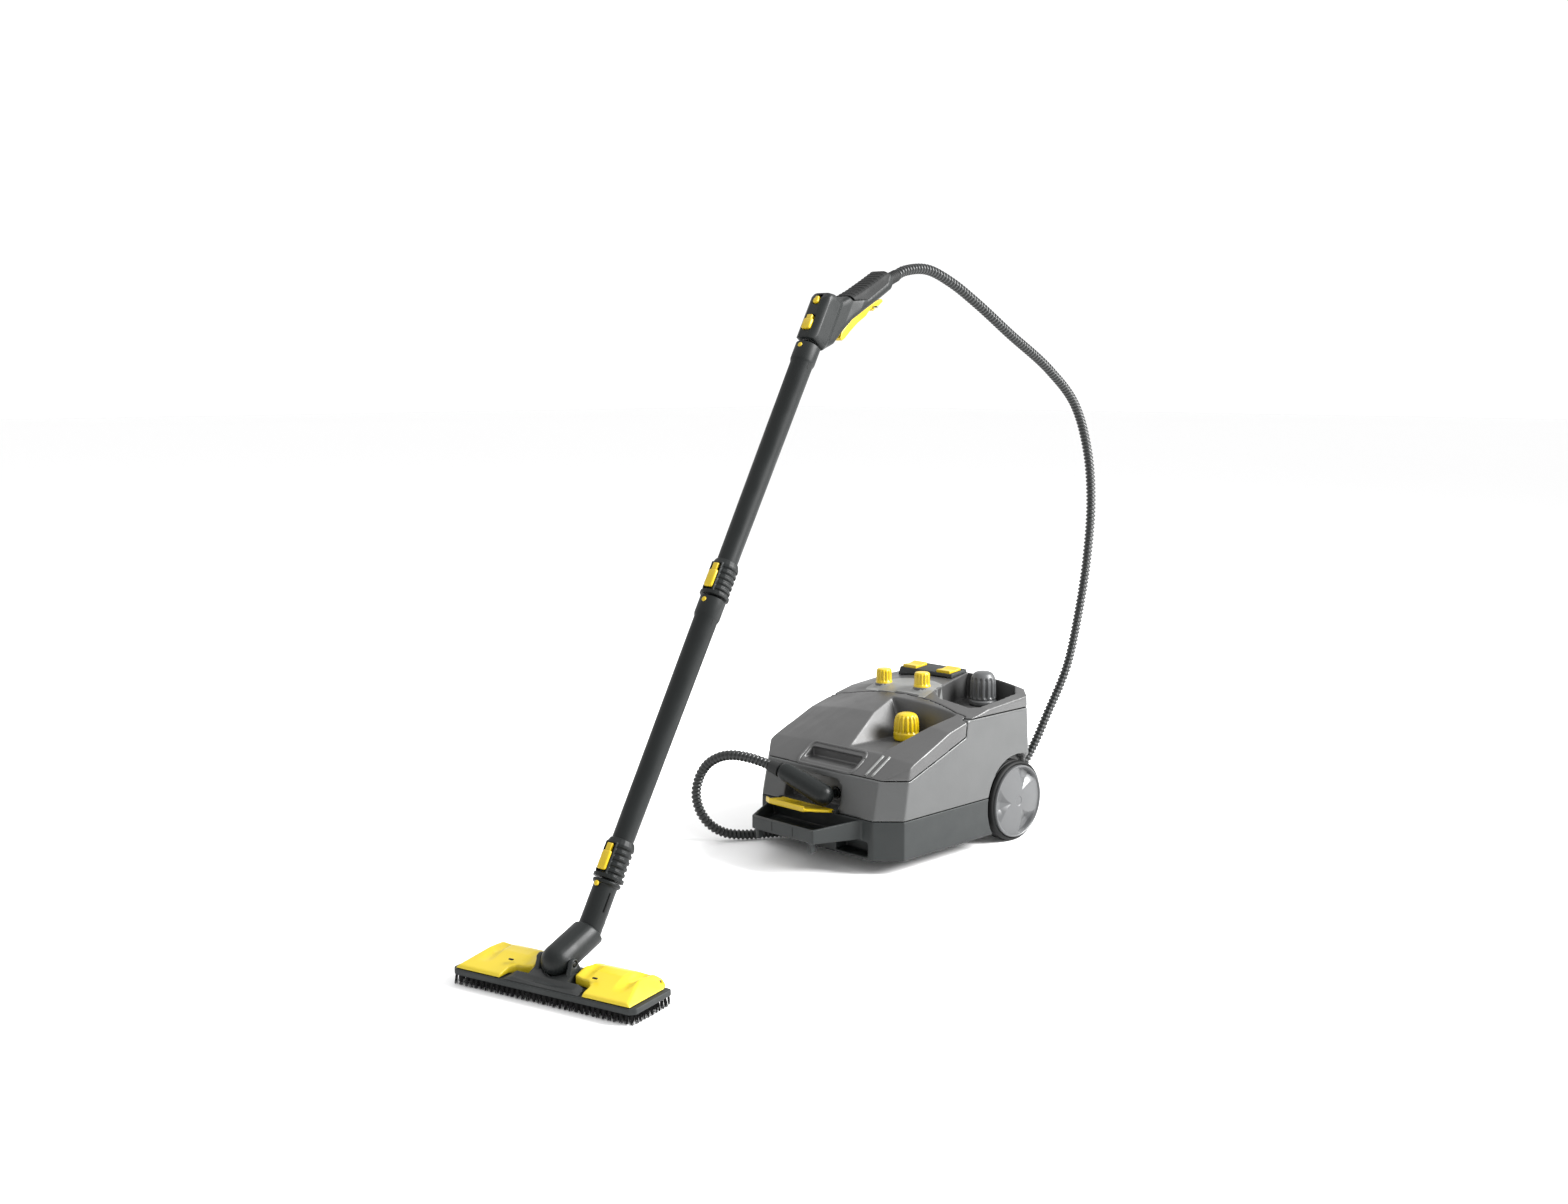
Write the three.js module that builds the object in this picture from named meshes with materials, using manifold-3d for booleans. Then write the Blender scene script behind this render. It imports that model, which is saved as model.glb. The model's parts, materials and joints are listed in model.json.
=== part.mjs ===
// Steam cleaner on wheels, with a hose, a steam gun, two tubes and a brush floor tool.
// Millimetres, +Z up. The machine's front faces -Y and its left-hand side is +X. All sizes are
// measured from a point on the floor under the machine; the last lines move the whole part so
// that its origin is on the floor under the middle of machine, wand and floor tool together.
import * as THREE from 'three';
import { mergeVertices } from 'three/addons/utils/BufferGeometryUtils.js';
import { ConvexGeometry } from 'three/addons/geometries/ConvexGeometry.js';
import Module from 'manifold-3d';

const wasm = await Module();
wasm.setup();

// ---------------------------------------------------------------- driving dimensions

const GAP = 0.3; // clearance between touching pieces
const REACH = 400; // longer than any cut has to be

// machine body
const BODY_HALF_WIDTH = 158;
const BODY_TOP_HALF_WIDTH = 152;
const BODY_FRONT = 165; // distance of the front face ahead of the origin
const BODY_REAR = 222;
const FRONT_CORNER_CUT = 35; // size of the bevelled front corners
const REAR_CORNER_CUT = 34;
const FRONT_LEAN = 36; // how far the front bevels lean back by the height of the top
const WALL = 3;
const FLOOR_CLEARANCE = 23; // height of the tub's underside
const TUB_TOP = 86;
const HOOD_SEAM_Z = 148; // seam of hood and shell across the front
const HOOD_SEAM_REAR_Z = 196; // where the sloping side seam ends
const HOOD_REAR = 27; // where the side seam turns up
const HOOD_ARC = 25; // rise of the curved rear edge of the hood
const RIM_Z = 223; // seam of shell and top cover
const CREASE_Y = -105;
const CREASE_Z = 178; // crease between the hood's front slope and its top
const CROWN = 18; // how far the top drops from the middle to the sides
const TOP_Z = 262; // highest point of the covers

const HANDLE_REAR = -112; // how far back the finger pocket reaches

// wheels
const WHEEL_RADIUS = 67.7;
const WHEEL_WIDTH = 38;
const WHEEL_FACE = 160; // outer face of a wheel from the middle
const WHEEL_Y = 157;
const HUB_RADIUS = 61;
const HUB_FACETS = 3;
const ARCH_GAP = 12; // from the tyre to the arch
const AXLE_RADIUS = 6;

// front caster
const CASTER_RADIUS = 18;
const CASTER_WIDTH = 18;
const CASTER_Y = -112;
const CASTER_TRAIL = 12;
const CASTER_PIN_RADIUS = 5;
const CASTER_TOP = 52; // height of the caster well's roof

// tray at the front
const TRAY_FRONT = 241;
const TRAY_HALF_WIDTH = 68;
const TRAY_ROOT_HALF_WIDTH = 100;
const TRAY_BOTTOM = 54;
const TRAY_LIP = 76;
const TRAY_WALL = 4;

// steam socket
const SOCKET_X = 20;
const SOCKET_Z = 110;
const SOCKET_BORE = 9;
const POCKET_DEPTH = 26;

// boiler and its cap
const BOILER_X = 45;
const BOILER_Y = 2;
const BOILER_RADIUS = 66;
const BOILER_BOTTOM = 40;
const BOILER_TOP = 158;
const BOILER_WALL = 2;
const NECK_RADIUS = 15;
const CAP_RADIUS = 21.5;
const CAP_HEIGHT = 46;
const RECESS_FLOOR = CREASE_Z;

// water tank and its cap
const TANK_CAP_X = 66;
const TANK_CAP_Y = 175;
const TANK_CAP_RADIUS = 24;
const TANK_CAP_HEIGHT = 58;
const TANK_NECK_RADIUS = 15;
const BASIN_FLOOR = 216;
const TANK_RIGHT = -104;
const TANK_LEFT = 106;
const TANK_FRONT = 84;
const TANK_REAR = 206;
const TANK_BOTTOM = 104;
const TANK_TOP = 200;
const TANK_WALL = 2.5;
const NECK_RISE = 12; // height of both fillers' necks over the floor around them

// gland for the mains cord, in the rear face
const GLAND_X = 60;
const GLAND_Z = 110;
const GLAND_RADIUS = 9;

// controls
const KNOB_Y = 80;
const KNOB_RADIUS = 14.5;
const KNOB_HEIGHT = 28;
const KNOB_SPINDLE = 4;
const ROCKER_Y = 172;
const ROCKER_LENGTH = 34;
const ROCKER_WIDTH = 30;

// hose
const HOSE_RADIUS = 8.5;
const RELIEF_LENGTH = 34;
const RELIEF_RADIUS = 12;

// wand
const TOOL_X = 182;
const TOOL_Y = -811;
const TOOL_YAW = 14.9;
const WAND_AZIMUTH = 8;
const WAND_LEAN = 32.2;
const TUBE_PITCH = 408.5; // from one coupling to the next
const NECK_LENGTH = 68; // from the swivel to the first coupling
const TUBE_TOP_RADIUS = 17.3;
const TUBE_END_RADIUS = 14.6;
const TUBE_BORE = 9;
const COLLAR_RADIUS = 19.5;
const COLLAR_LENGTH = 54;
const SPIGOT_LENGTH = 28;

// floor tool
const PLATE_LENGTH = 286;
const PLATE_WIDTH = 87;
const PLATE_BOTTOM = 14;
const PLATE_THICKNESS = 8;
const ELBOW_RADIUS = 21;
const ELBOW_LENGTH = 67.3;
const ELBOW_RISE = 15.8;
const PIVOT_Y = -6;
const PIVOT_Z = 46;
const CLIP_TOP = 41;

// ---------------------------------------------------------------- colours

const COLOURS = {
  lightGrey: [0x8e8f8f, 0.5, 0],
  midGrey: [0x6f7071, 0.5, 0],
  darkGrey: [0x4a4c4c, 0.6, 0],
  black: [0x26282a, 0.55, 0],
  capGrey: [0x808284, 0.5, 0],
  yellow: [0xf5df1e, 0.4, 0],
  rubber: [0x1b1c1d, 0.9, 0],
  steel: [0xb9bbbd, 0.3, 1],
  brass: [0xb5974d, 0.35, 1],
  green: [0x2f6b3c, 0.6, 0],
  white: [0xd9dad6, 0.5, 0],
};

// ---------------------------------------------------------------- solids

function toSolid(geometry) {
  const bare = geometry.clone();
  bare.deleteAttribute('normal');
  bare.deleteAttribute('uv');
  const merged = mergeVertices(bare, 1e-4);
  const index = merged.index.array;
  const triangles = [];
  for (let i = 0; i < index.length; i += 3) {
    const [a, b, c] = [index[i], index[i + 1], index[i + 2]];
    if (a !== b && b !== c && c !== a) triangles.push(a, b, c);
  }
  const mesh = new wasm.Mesh({
    numProp: 3,
    vertProperties: new Float32Array(merged.attributes.position.array),
    triVerts: new Uint32Array(triangles),
  });
  return new wasm.Manifold(mesh);
}

function toGeometry(solid) {
  const mesh = solid.getMesh();
  const geometry = new THREE.BufferGeometry();
  geometry.setAttribute('position', new THREE.BufferAttribute(mesh.vertProperties, 3));
  geometry.setIndex(new THREE.BufferAttribute(mesh.triVerts, 1));
  return geometry;
}

function join(...solids) {
  return solids.reduce((sum, next) => sum.add(next));
}

function cut(body, ...tools) {
  return tools.reduce((rest, tool) => rest.subtract(tool), body);
}

function box(x0, x1, y0, y1, z0, z1) {
  const geometry = new THREE.BoxGeometry(x1 - x0, y1 - y0, z1 - z0);
  geometry.translate((x0 + x1) / 2, (y0 + y1) / 2, (z0 + z1) / 2);
  return toSolid(geometry);
}

function hull(points) {
  return toSolid(new ConvexGeometry(points.map((p) => new THREE.Vector3(...p))));
}

// A plan outline of [x, y] points between two heights.
function plan(points, z0, z1) {
  const shape = new THREE.Shape(points.map((p) => new THREE.Vector2(...p)));
  const geometry = new THREE.ExtrudeGeometry(shape, { depth: z1 - z0, bevelEnabled: false });
  geometry.translate(0, 0, z0);
  return toSolid(geometry);
}

// A side outline of [y, z] points between two x values, in equal slices.
function sideGeometry(points, x0, x1, steps = 1) {
  const shape = new THREE.Shape(points.map((p) => new THREE.Vector2(...p)));
  const options = { depth: x1 - x0, bevelEnabled: false, steps };
  const geometry = new THREE.ExtrudeGeometry(shape, options);
  geometry.applyMatrix4(new THREE.Matrix4().set(0, 0, 1, x0, 1, 0, 0, 0, 0, 1, 0, 0, 0, 0, 0, 1));
  return geometry;
}

function side(points, x0, x1) {
  return toSolid(sideGeometry(points, x0, x1));
}

// A profile of [radius, height] points turned about Z.
function turned(points, x = 0, y = 0, segments = 28) {
  const profile = points.map((p) => new THREE.Vector2(...p));
  const geometry = new THREE.LatheGeometry(profile, segments);
  geometry.rotateX(Math.PI / 2);
  geometry.translate(x, y, 0);
  return toSolid(geometry);
}

function cylinder(radius, z0, z1, x = 0, y = 0, segments = 28) {
  return turned([[0, z0], [radius, z0], [radius, z1], [0, z1]], x, y, segments);
}

function ring(outer, inner, z0, z1, x = 0, y = 0, segments = 28) {
  return turned([[inner, z0], [outer, z0], [outer, z1], [inner, z1], [inner, z0]], x, y, segments);
}

// Moves a solid: turn about X, then about Z, in degrees, then shift.
// The same solid on the other side of the middle plane x = 0.
function acrossMiddle(solid) {
  return solid.mirror([1, 0, 0]);
}

function moved(solid, shift, turnX = 0, turnZ = 0) {
  const matrix = new THREE.Matrix4().makeTranslation(...shift);
  matrix.multiply(new THREE.Matrix4().makeRotationZ(THREE.MathUtils.degToRad(turnZ)));
  matrix.multiply(new THREE.Matrix4().makeRotationX(THREE.MathUtils.degToRad(turnX)));
  return solid.transform(matrix.elements);
}

// A bar along X.
function barX(radius, x0, x1, y, z, segments = 24) {
  const geometry = new THREE.CylinderGeometry(radius, radius, x1 - x0, segments);
  geometry.rotateZ(-Math.PI / 2);
  geometry.translate((x0 + x1) / 2, y, z);
  return toSolid(geometry);
}

// A bar along Y.
function barY(radius, y0, y1, x, z, segments = 24) {
  const geometry = new THREE.CylinderGeometry(radius, radius, y1 - y0, segments);
  geometry.translate(x, (y0 + y1) / 2, z);
  return toSolid(geometry);
}

function mirrored(points) {
  return points.map(([x, y]) => [-x, y]).reverse();
}

// Shifts every edge of a convex outline inwards, or outwards where the amount is negative.
function inset(points, amount) {
  return points.map((point, i) => {
    const before = points[(i + points.length - 1) % points.length];
    const after = points[(i + 1) % points.length];
    const [ax, ay] = [point[0] - before[0], point[1] - before[1]];
    const [bx, by] = [after[0] - point[0], after[1] - point[1]];
    const la = Math.hypot(ax, ay);
    const lb = Math.hypot(bx, by);
    const na = [-ay / la, ax / la];
    const nb = [-by / lb, bx / lb];
    const scale = amount / (1 + na[0] * nb[0] + na[1] * nb[1]);
    return [point[0] + (na[0] + nb[0]) * scale, point[1] + (na[1] + nb[1]) * scale];
  });
}

// ---------------------------------------------------------------- scene

const scene = new THREE.Group();

function addTo(group, name, solid, [color, roughness, metalness]) {
  const material = new THREE.MeshStandardMaterial({ color, roughness, metalness });
  const mesh = new THREE.Mesh(toGeometry(solid), material);
  mesh.name = name;
  group.add(mesh);
}

function add(name, solid, colour) {
  addTo(scene, name, solid, colour);
}

// ---------------------------------------------------------------- body outline

// Right half of the plan, then its mirror image, going round anticlockwise.
function bodyOutline(halfWidth, front, rear) {
  const right = [
    [halfWidth - FRONT_CORNER_CUT, -front],
    [halfWidth, -front + FRONT_CORNER_CUT],
    [halfWidth, rear - REAR_CORNER_CUT],
    [halfWidth - REAR_CORNER_CUT, rear],
  ];
  return [...right, ...mirrored(right)];
}

// The outline of the machine as one solid, with its surface moved inwards by the inset.
function bodySolid(depth) {
  const low = inset(bodyOutline(BODY_HALF_WIDTH, BODY_FRONT, BODY_REAR), depth);
  const high = inset(bodyOutline(BODY_TOP_HALF_WIDTH, BODY_FRONT - FRONT_LEAN, BODY_REAR - 6), depth);
  const lower = hull([...low.map((p) => [...p, 0]), ...low.map((p) => [...p, TUB_TOP])]);
  const upper = hull([...low.map((p) => [...p, TUB_TOP]), ...high.map((p) => [...p, TOP_Z + WALL])]);
  const profile = inset(
    [
      [-BODY_FRONT, FLOOR_CLEARANCE],
      [BODY_REAR, FLOOR_CLEARANCE],
      [BODY_REAR, TOP_Z - 10],
      [BODY_REAR - 20, TOP_Z],
      [80, TOP_Z - 12],
      [40, TOP_Z - 23],
      [-19, TOP_Z - 41],
      [CREASE_Y, CREASE_Z],
      [-BODY_FRONT + 13, HOOD_SEAM_Z - 2],
      [-BODY_FRONT, TUB_TOP],
    ],
    depth,
  );
  const geometry = sideGeometry(profile, -BODY_HALF_WIDTH - 1, BODY_HALF_WIDTH + 1, 12);
  const position = geometry.attributes.position;
  for (let i = 0; i < position.count; i += 1) {
    const across = position.getX(i) / BODY_TOP_HALF_WIDTH;
    const share = Math.max(0, (position.getZ(i) - HOOD_SEAM_Z) / (TOP_Z - HOOD_SEAM_Z));
    position.setZ(i, position.getZ(i) - CROWN * across * across * share);
  }
  return toSolid(geometry).intersect(join(lower, upper));
}

// ---------------------------------------------------------------- hollows in the body

const ARCH_RADIUS = WHEEL_RADIUS + ARCH_GAP;
const ARCH_INNER = WHEEL_FACE - WHEEL_WIDTH - 8;

function wheelWells(grow) {
  const right = barX(ARCH_RADIUS + grow, ARCH_INNER - grow, REACH, WHEEL_Y, WHEEL_RADIUS, 40);
  const left = barX(ARCH_RADIUS + grow, -REACH, -ARCH_INNER + grow, WHEEL_Y, WHEEL_RADIUS, 40);
  return join(right, left);
}

function casterWell(grow) {
  return cylinder(40 + grow, 0, CASTER_TOP + grow, 0, CASTER_Y + 4);
}

// The notch in the hood that the boiler cap stands in, open to the front slope.
function capRecess(grow) {
  const floor = RECESS_FLOOR - grow;
  const [left, right] = [BOILER_X - 30 - grow, BOILER_X + 36 + grow];
  const rear = BOILER_Y + 24 + grow;
  const front = CREASE_Y + 4 - grow;
  const top = TOP_Z + 40;
  return hull([
    [left, front, floor],
    [right, front, floor],
    [right, rear, floor],
    [left, rear, floor],
    [left - 66, front, top],
    [right + 110, front, top],
    [right + 110, rear + 20, top],
    [left - 66, rear + 20, top],
  ]);
}

// The basin round the tank cap.
function basin(grow) {
  const outline = [[36, 84], [62, 64], [126, 64], [138, 76], [136, 172], [112, 202], [10, 202]];
  return plan(inset(outline, -grow), BASIN_FLOOR - grow, REACH);
}

// A finger pocket under the carrying handle.
function handlePocket(grow) {
  const low = HOOD_SEAM_Z + 6;
  const points = [
    [-BODY_FRONT - 10, low - grow],
    [HANDLE_REAR + grow, low - grow],
    [HANDLE_REAR + grow, low + 16 + grow],
    [-BODY_FRONT - 10, low + 16 + grow],
  ];
  return side(points, -56 - grow, 56 + grow);
}

// The pocket that the hose plug lies in.
function socketPocket(grow) {
  const outline = [[-74, 90], [44, 90], [50, 100], [48, 126], [36, 137], [-74, 137]];
  const points = inset(outline, -grow);
  const shape = new THREE.Shape(points.map((p) => new THREE.Vector2(...p)));
  const depth = 60 + POCKET_DEPTH + grow;
  const geometry = new THREE.ExtrudeGeometry(shape, { depth, bevelEnabled: false });
  geometry.rotateX(Math.PI / 2);
  geometry.translate(0, -BODY_FRONT + POCKET_DEPTH + grow, 0);
  return toSolid(geometry);
}

// The parking recess for tools, low in the front of the tub, left and right.
function parkingRecess(grow, sign) {
  const [inner, outer] = [44 - grow, 112 + grow];
  const xs = sign > 0 ? [inner, outer] : [-outer, -inner];
  return box(...xs, -BODY_FRONT - 20, -BODY_FRONT + 26 + grow, 28 - grow, 51 + grow);
}

const outer = cut(
  bodySolid(0),
  wheelWells(0),
  casterWell(0),
  capRecess(0),
  basin(0),
  handlePocket(0),
  socketPocket(0),
  parkingRecess(0, 1),
  parkingRecess(0, -1),
);
const inner = cut(
  bodySolid(WALL),
  wheelWells(WALL),
  casterWell(WALL),
  capRecess(WALL),
  basin(WALL),
  handlePocket(WALL),
  socketPocket(WALL),
  parkingRecess(WALL, 1),
  parkingRecess(WALL, -1),
);
const covers = cut(outer, inner);

// ---------------------------------------------------------------- covers

// Everything that belongs to the hood, grown by the clearance where its neighbours are cut.
function hoodRegion(grow) {
  const belt = side(
    [
      [-REACH, HOOD_SEAM_Z - grow],
      [-114, HOOD_SEAM_Z - grow],
      [HOOD_REAR - 4 + grow, HOOD_SEAM_REAR_Z - grow],
      [HOOD_REAR + grow, RIM_Z - grow],
      [HOOD_REAR + grow, REACH],
      [-REACH, REACH],
    ],
    -REACH,
    REACH,
  );
  const half = BODY_TOP_HALF_WIDTH + 10;
  const arc = [];
  for (let i = 0; i <= 16; i += 1) {
    const x = half * (1 - i / 8);
    arc.push([x, HOOD_REAR + grow + HOOD_ARC * (1 - (x / half) ** 2)]);
  }
  const cap = plan([[-half, 0], [half, 0], ...arc], RIM_Z - grow, REACH);
  const within = BODY_TOP_HALF_WIDTH - 12;
  const middle = box(-within, within, CREASE_Y - 10, HOOD_REAR + 12, RECESS_FLOOR - 12 - grow, REACH);
  return join(belt, cap, middle);
}

const boilerNeckHole = cylinder(NECK_RADIUS + GAP, RECESS_FLOOR - 8, RECESS_FLOOR + 7, BOILER_X, BOILER_Y);
add('front_hood', cut(covers.intersect(hoodRegion(0)), boilerNeckHole), COLOURS.midGrey);


// Height of the crowned top over a point behind the hood.
function topHeight(x, y) {
  const share = (y - KNOB_Y) / (BODY_REAR - 20 - KNOB_Y);
  const middle = TOP_Z - 12 + 12 * share;
  return middle - CROWN * (x / BODY_TOP_HALF_WIDTH) ** 2;
}

function knobBase(x) {
  return topHeight(x, KNOB_Y) + 3.5;
}

const topRegion = cut(box(-REACH, REACH, 0, REACH, RIM_Z, REACH), hoodRegion(GAP));
const basinFloor = cut(basin(WALL), basin(0)).intersect(box(-REACH, REACH, 0, REACH, 0, RIM_Z));
const knobs = [
  ['steam_knob', 11],
  ['hydro_knob', -75],
];
const rockers = [
  ['switch_rocker_left', -8],
  ['switch_rocker_right', -84],
];
const topCover = cut(
  join(cut(covers.intersect(topRegion), cut(basin(WALL + GAP), basin(WALL)).intersect(
    box(-REACH, REACH, 0, REACH, 0, RIM_Z))), basinFloor,
    ...knobs.map(([, x]) => cylinder(KNOB_RADIUS + 1.5, knobBase(x) - 8, knobBase(x) - GAP, x, KNOB_Y))),
  cylinder(TANK_NECK_RADIUS + GAP, BASIN_FLOOR - 10, BASIN_FLOOR + 10, TANK_CAP_X, TANK_CAP_Y),
  ...knobs.map(([, x]) => cylinder(KNOB_SPINDLE + GAP, RIM_Z, REACH, x, KNOB_Y)),
  ...rockers.map(([, x]) => {
    const half = ROCKER_WIDTH / 2 + 1;
    const reach = ROCKER_LENGTH / 2 + 3;
    return box(x - half, x + half, ROCKER_Y - reach, ROCKER_Y + reach, RIM_Z, REACH);
  }),
);
add('top_cover', topCover, COLOURS.midGrey);

const axleHole = barX(AXLE_RADIUS + GAP, -REACH, REACH, WHEEL_Y, WHEEL_RADIUS);
const shellRegion = box(-REACH, REACH, -REACH, REACH, TUB_TOP + GAP, RIM_Z - GAP);
const glandHole = barY(GLAND_RADIUS + GAP, BODY_REAR - 30, BODY_REAR + 30, GLAND_X, GLAND_Z);
const mainShell = cut(
  covers.intersect(shellRegion),
  hoodRegion(GAP),
  basin(WALL + GAP),
  glandHole,
  axleHole,
  barY(SOCKET_BORE + GAP, -BODY_FRONT - 10, -100, SOCKET_X, SOCKET_Z),
);
add('main_shell', mainShell, COLOURS.lightGrey);

// ---------------------------------------------------------------- tub and tray

function trayOutline(grow) {
  const right = [
    [TRAY_HALF_WIDTH - grow, -TRAY_FRONT + grow],
    [TRAY_ROOT_HALF_WIDTH - grow, -BODY_FRONT + 1],
  ];
  return [...right, ...mirrored(right)];
}

function tray() {
  const slope = TUB_TOP - TRAY_LIP;
  const blank = plan(trayOutline(0), TRAY_BOTTOM, TUB_TOP);
  const top = side(
    [[-TRAY_FRONT - 20, TRAY_LIP - 2], [-BODY_FRONT + 2, TRAY_LIP + slope], [-BODY_FRONT + 2, REACH],
      [-TRAY_FRONT - 20, REACH]],
    -REACH,
    REACH,
  );
  const hollow = plan(trayOutline(TRAY_WALL), TRAY_BOTTOM + TRAY_WALL, REACH);
  const slot = box(-56, -14, -TRAY_FRONT + 14, -TRAY_FRONT + 46, 0, TRAY_BOTTOM + 10);
  return cut(blank, top, hollow, slot);
}

const hook = box(56, 62, -TRAY_FRONT + 2, -TRAY_FRONT + 14, TRAY_BOTTOM - 16, TRAY_BOTTOM + 1);
const hookLeft = box(-62, -56, -TRAY_FRONT + 2, -TRAY_FRONT + 14, TRAY_BOTTOM - 16, TRAY_BOTTOM + 1);
const tub = covers.intersect(box(-REACH, REACH, -REACH, REACH, 0, TUB_TOP));
const baseTub = cut(
  join(tub, tray(), hook, hookLeft),
  axleHole,
  cylinder(CASTER_PIN_RADIUS + GAP, 0, CASTER_TOP + 10, 0, CASTER_Y),
);
add('base_tub', baseTub, COLOURS.darkGrey);

// ---------------------------------------------------------------- inside the machine

const boilerProfile = [
  [0, BOILER_BOTTOM],
  [BOILER_RADIUS - 20, BOILER_BOTTOM],
  [BOILER_RADIUS, BOILER_BOTTOM + 16],
  [BOILER_RADIUS, BOILER_TOP - 20],
  [BOILER_RADIUS - 24, BOILER_TOP],
  [NECK_RADIUS - 1, BOILER_TOP + 2],
  [NECK_RADIUS - 1, BOILER_TOP + 10],
  [NECK_RADIUS - 3, BOILER_TOP + 10],
  [NECK_RADIUS - 3, BOILER_TOP],
  [BOILER_RADIUS - 25, BOILER_TOP - BOILER_WALL],
  [BOILER_RADIUS - BOILER_WALL, BOILER_TOP - 21],
  [BOILER_RADIUS - BOILER_WALL, BOILER_BOTTOM + 17],
  [BOILER_RADIUS - 21, BOILER_BOTTOM + BOILER_WALL],
  [0, BOILER_BOTTOM + BOILER_WALL],
];
add('boiler', turned(boilerProfile, BOILER_X, BOILER_Y, 32), COLOURS.steel);
const heatingPlate = cylinder(
  BOILER_RADIUS - 24,
  BOILER_BOTTOM - 12,
  BOILER_BOTTOM - GAP,
  BOILER_X,
  BOILER_Y,
);
add('heating_plate', heatingPlate, COLOURS.steel);
const neckBottom = BOILER_TOP + 10 + GAP;
const neckTop = RECESS_FLOOR + NECK_RISE;
const boilerNeck = ring(NECK_RADIUS, NECK_RADIUS - 4, neckBottom, neckTop, BOILER_X, BOILER_Y);
add('boiler_neck', boilerNeck, COLOURS.brass);

function waterTank() {
  const tankBox = (depth) =>
    box(
      TANK_RIGHT + depth,
      TANK_LEFT - depth,
      TANK_FRONT + depth,
      TANK_REAR - depth,
      TANK_BOTTOM + depth,
      TANK_TOP - depth,
    );
  const neckTop = BASIN_FLOOR + NECK_RISE;
  const neck = cylinder(TANK_NECK_RADIUS, TANK_TOP - 1, neckTop, TANK_CAP_X, TANK_CAP_Y);
  const blank = join(tankBox(0), neck);
  const hollow = tankBox(TANK_WALL);
  const bore = cylinder(TANK_NECK_RADIUS - TANK_WALL, TANK_TOP - 10, REACH, TANK_CAP_X, TANK_CAP_Y);
  return cut(blank, hollow, bore);
}
add('water_tank', waterTank(), COLOURS.white);

function pump() {
  const motor = barY(16, -66, -30, -78, 50);
  const head = box(-92, -64, -30, -6, 30, 68);
  return join(motor, head);
}
add('feed_pump', pump(), COLOURS.black);
add('steam_valve', join(box(-60, -36, -96, -66, 104, 130), cylinder(10, 129, 150, -48, -81)), COLOURS.brass);
add('control_board', box(-141, -139, -40, 60, 96, 172), COLOURS.green);
const axleEnd = WHEEL_FACE - 10;
add('rear_axle', barX(AXLE_RADIUS, -axleEnd, axleEnd, WHEEL_Y, WHEEL_RADIUS), COLOURS.steel);
const glandStem = barY(GLAND_RADIUS, BODY_REAR - 16, BODY_REAR + 2, GLAND_X, GLAND_Z);
const glandNut = barY(GLAND_RADIUS + 5, BODY_REAR + GAP, BODY_REAR + 8, GLAND_X, GLAND_Z, 6);
const cordHole = barY(GLAND_RADIUS / 2, BODY_REAR - 40, BODY_REAR + 40, GLAND_X, GLAND_Z, 12);
const gland = cut(join(glandStem, glandNut), cordHole);
add('cord_gland', gland, COLOURS.black);

// the socket's housing stands behind the pocket's rear wall
const POCKET_REAR = -BODY_FRONT + POCKET_DEPTH + WALL;
function socketHousing() {
  const [low, high] = [SOCKET_Z - 14, SOCKET_Z + 14];
  const block = box(SOCKET_X - 18, SOCKET_X + 18, POCKET_REAR + GAP, POCKET_REAR + 22, low, high);
  const nose = barY(SOCKET_BORE, POCKET_REAR - WALL - 1, POCKET_REAR + 1, SOCKET_X, SOCKET_Z);
  return cut(join(block, nose), barY(6 + GAP, -REACH, POCKET_REAR + 16, SOCKET_X, SOCKET_Z));
}
add('socket_housing', socketHousing(), COLOURS.black);

// ---------------------------------------------------------------- wheels

function wheel(hand, name) {
  const width = WHEEL_WIDTH;
  const tyreProfile = [
    [HUB_RADIUS + GAP, -width / 2 + 3],
    [WHEEL_RADIUS - 4, -width / 2 + 2],
    [WHEEL_RADIUS, -width / 2 + 8],
    [WHEEL_RADIUS, width / 2 - 8],
    [WHEEL_RADIUS - 4, width / 2 - 2],
    [HUB_RADIUS + GAP, width / 2 - 3],
    [HUB_RADIUS + GAP, -width / 2 + 3],
  ];
  const middle = hand * (WHEEL_FACE - width / 2);
  const stand = (solid) => {
    const matrix = new THREE.Matrix4().makeTranslation(middle, WHEEL_Y, WHEEL_RADIUS);
    matrix.multiply(new THREE.Matrix4().makeRotationY((hand * Math.PI) / 2));
    return solid.transform(matrix.elements);
  };
  add(`${name}_tyre`, stand(turned(tyreProfile, 0, 0, 48)), COLOURS.rubber);
  let hub = turned(
    [[0, -8], [HUB_RADIUS - 6, -8], [HUB_RADIUS, -width / 2 + 4], [HUB_RADIUS, width / 2 - 1],
      [HUB_RADIUS - 3, width / 2], [0, width / 2 - 2]],
    0,
    0,
    40,
  );
  for (let i = 0; i < HUB_FACETS; i += 1) {
    const angle = ((i + 0.75) * 2 * Math.PI) / HUB_FACETS;
    const wedge = hull([
      [HUB_RADIUS * 0.9, -17, width / 2 + 4],
      [HUB_RADIUS * 0.9, 17, width / 2 + 4],
      [HUB_RADIUS * 0.42, 0, width / 2 + 4],
      [HUB_RADIUS * 0.86, -12, width / 2 - 9],
      [HUB_RADIUS * 0.86, 12, width / 2 - 9],
      [HUB_RADIUS * 0.5, 0, width / 2 - 3],
    ]);
    hub = hub.subtract(wedge.transform(new THREE.Matrix4().makeRotationZ(angle).elements));
  }
  hub = hub.subtract(cylinder(AXLE_RADIUS + GAP, -20, width / 2 - 9, 0, 0));
  add(`${name}_hub`, stand(hub), COLOURS.capGrey);
}
wheel(1, 'left_wheel');
wheel(-1, 'right_wheel');

// ---------------------------------------------------------------- caster

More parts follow.
